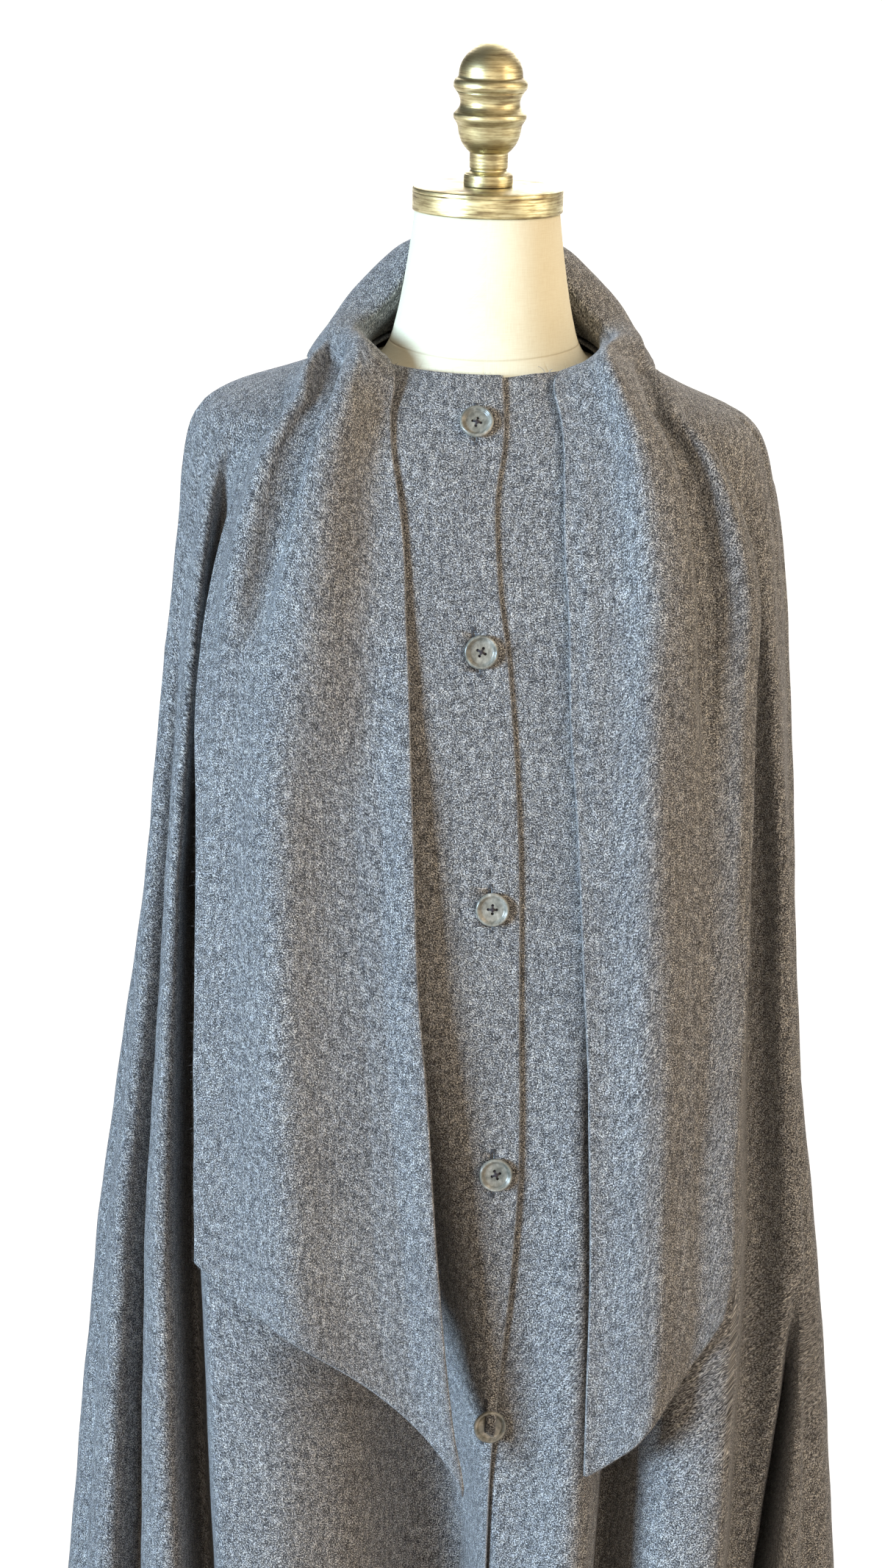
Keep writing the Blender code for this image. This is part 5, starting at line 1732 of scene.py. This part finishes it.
def build_button_threads():
    """Two crossing bundles on each button. Each strand comes up one hole, lies over the dish and goes down
    the opposite one: along it the height is a flat arch, a power of a sine."""
    share = np.linspace(0, 1, CROSS_POINTS)
    along = np.clip((share - HOLE_SHARE) / (1 - 2 * HOLE_SHARE), 0, 1) * 2 - 1
    arch = np.sin(share * math.pi) ** ARCH_POWER
    height = -SHANK_DEPTH + (SHANK_DEPTH + DISH_HEIGHT + STRAND_OVER) * arch
    pieces = []
    for base, right, up, out in BUTTON_FRAMES:
        paths = []
        for pair in range(2):
            angle = HOLE_TURN + math.pi / 4 + pair * math.pi / 2
            ahead = right * math.cos(angle) + up * math.sin(angle)
            aside = up * math.cos(angle) - right * math.sin(angle)
            lifted = height + CROSSING_OVER * pair * arch
            for strand in CROSS_STRANDS:
                paths.append(base + ahead * (along * HOLE_CIRCLE)[:, None] + aside * strand
                             + out * lifted[:, None])
        paths = np.array(paths)
        across = np.cross(out, paths[:, -1] - paths[:, 0])[:, None]
        pieces.append(thread_arrays(paths, CROSS_RADIUS, across))
    vertices, quads, caps = joined(pieces)
    new_piece("button_threads", vertices, [quads, caps], MAUVE_THREAD)
    print(len(pieces) * len(paths), "strands hold the buttons")


build_button_threads()

# %% Loose threads
LOOSE_RADIUS = 0.00014
LOOSE_POINTS = 9
FREE_WAY = (0.3, -1, 0.2)
# The height at which the loose ends leave the neckline, how far below their start they are rooted, and how
# each bends: the power of its way aside, its share forward and the angle of its arc.
NECKLINE_HEIGHT = 1.3970
LOOSE_ROOT = 0.0035
LOOSE_CURL = 1.6
LOOSE_FORWARD = 0.35
LOOSE_ARC = 1.4
# Where each loose end starts, how long it is and which way it sticks out.
LOOSE_ENDS = table("x z length aside up", [
    (-0.0655, 1.4010, 0.0070, -0.3, 1.0),
    (-0.0640, 1.4005, 0.0050, 0.5, 0.9),
    (-0.0625, 1.4010, 0.0036, -0.1, 1.0),
    (0.0425, 1.4005, 0.0075, -0.7, 0.9),
    (0.0440, 1.4005, 0.0050, 0.6, 1.0),
    (0.0455, 1.4000, 0.0040, 0.1, 1.0),
])
ARC_FROM = (0.0512, 1.3675)
ARC_TO = (0.0720, 1.3640)
ARC_SAG = 0.0022
ARC_OVER = SCARF_WOOL / 2 + 0.0006
ARC_BULGE = 0.0012
PALE_FIBRE = sewing_thread("pale_wool_fibre", (0.33, 0.33, 0.335))


def build_loose_threads():
    """The loose ends at the scarf's two starts, each a quarter arc, and a thread that lies on the scarf."""
    share = np.linspace(0, 1, LOOSE_POINTS)
    hump = np.sin(share * math.pi)
    paths = []
    for x, z, length, aside, up in zip(*LOOSE_ENDS.values()):
        turn = turn_on_front(x, NECKLINE_HEIGHT)[0]
        base = envelope(turn, 0.0)[0] * (1, 1, 0) + (0, 0, z - LOOSE_ROOT)
        bent = np.stack([aside * share ** LOOSE_CURL, -LOOSE_FORWARD * share,
                         up * np.sin(share * LOOSE_ARC)], 1)
        paths.append(base + bent * length)
    x = ARC_FROM[0] + (ARC_TO[0] - ARC_FROM[0]) * share
    z = ARC_FROM[1] + (ARC_TO[1] - ARC_FROM[1]) * share - ARC_SAG * hump
    cloth = GRIDS["scarf_left"].reshape(-1, 3)
    away = (cloth[None, :, 0] - x[:, None]) ** 2 + (cloth[None, :, 2] - z[:, None]) ** 2
    y = cloth[np.argmin(away, axis=1), 1] - ARC_OVER - ARC_BULGE * hump
    paths.append(np.stack([x, y, z], 1))
    vertices, quads, caps = thread_arrays(paths, LOOSE_RADIUS, FREE_WAY, STITCH_SIDES)
    new_piece("loose_threads", vertices, [quads, caps], PALE_FIBRE)
    print(len(paths), "loose threads")


build_loose_threads()

# %% Fibres on the raw edges
FIBRE_RADIUS = 0.00006
FIBRE_LENGTH = (0.0010, 0.0034)
FIBRES_PER_METRE = 1000
# How far round the edge fibres start, in radians, how deep they are rooted, in thicknesses, how much each
# bends astray, how thick they start, in fibre radii, and the shortest one's share of the length.
FIBRE_ROUND = 1.2
FIBRE_ROOT = 0.45
FIBRE_STRAY = 0.6
FIBRE_START = 1.2
FIBRE_SHORTEST = 0.3


def build_fibres(name, thickness, seed):
    """Short fibres that stand out of a cloth's raw edge, evenly many for each metre: each starts at a random
    place of the border and bends from the cloth's side direction to a random one."""
    points = GRIDS[name]
    out = grid_normals(points)
    rim = rim_places(*points.shape[:2])
    middle, ahead = points[rim], out[rim]
    step = np.roll(middle, -1, axis=0) - middle
    aside = unit(np.cross(ahead, step))
    length = np.linalg.norm(step, axis=1)
    chance = np.random.default_rng(seed)
    count = int(length.sum() * FIBRES_PER_METRE)
    start = chance.choice(len(middle), count, p=length / length.sum())
    base = middle[start] + step[start] * chance.uniform(0, 1, (count, 1))
    round_edge = chance.uniform(-FIBRE_ROUND, FIBRE_ROUND, (count, 1))
    way = aside[start] * np.cos(round_edge) + ahead[start] * np.sin(round_edge)
    stray = unit(chance.normal(0, 1, (count, 3)))
    reach = chance.uniform(*FIBRE_LENGTH, (count, 1)) * chance.uniform(FIBRE_SHORTEST, 1, (count, 1))
    share = np.linspace(0, 1, 3)[None, :, None]
    bent = (way[:, None] * share + stray[:, None] * FIBRE_STRAY * share ** 2) * reach[:, None]
    paths = base[:, None] + way[:, None] * thickness * FIBRE_ROOT + bent
    radius = FIBRE_RADIUS * (FIBRE_START - share[..., 0])
    vertices, quads, caps = thread_arrays(paths, radius, FREE_WAY, 3)
    new_piece(f"{name}_fibres", vertices, [quads, caps], PALE_FIBRE)
    print(f"{name}: {count} fibres on {length.sum():.2f} m of edge")


build_fibres("scarf_right", SCARF_WOOL, 21)
build_fibres("scarf_left", SCARF_WOOL, 22)
build_fibres("front_right", WOOL, 23)
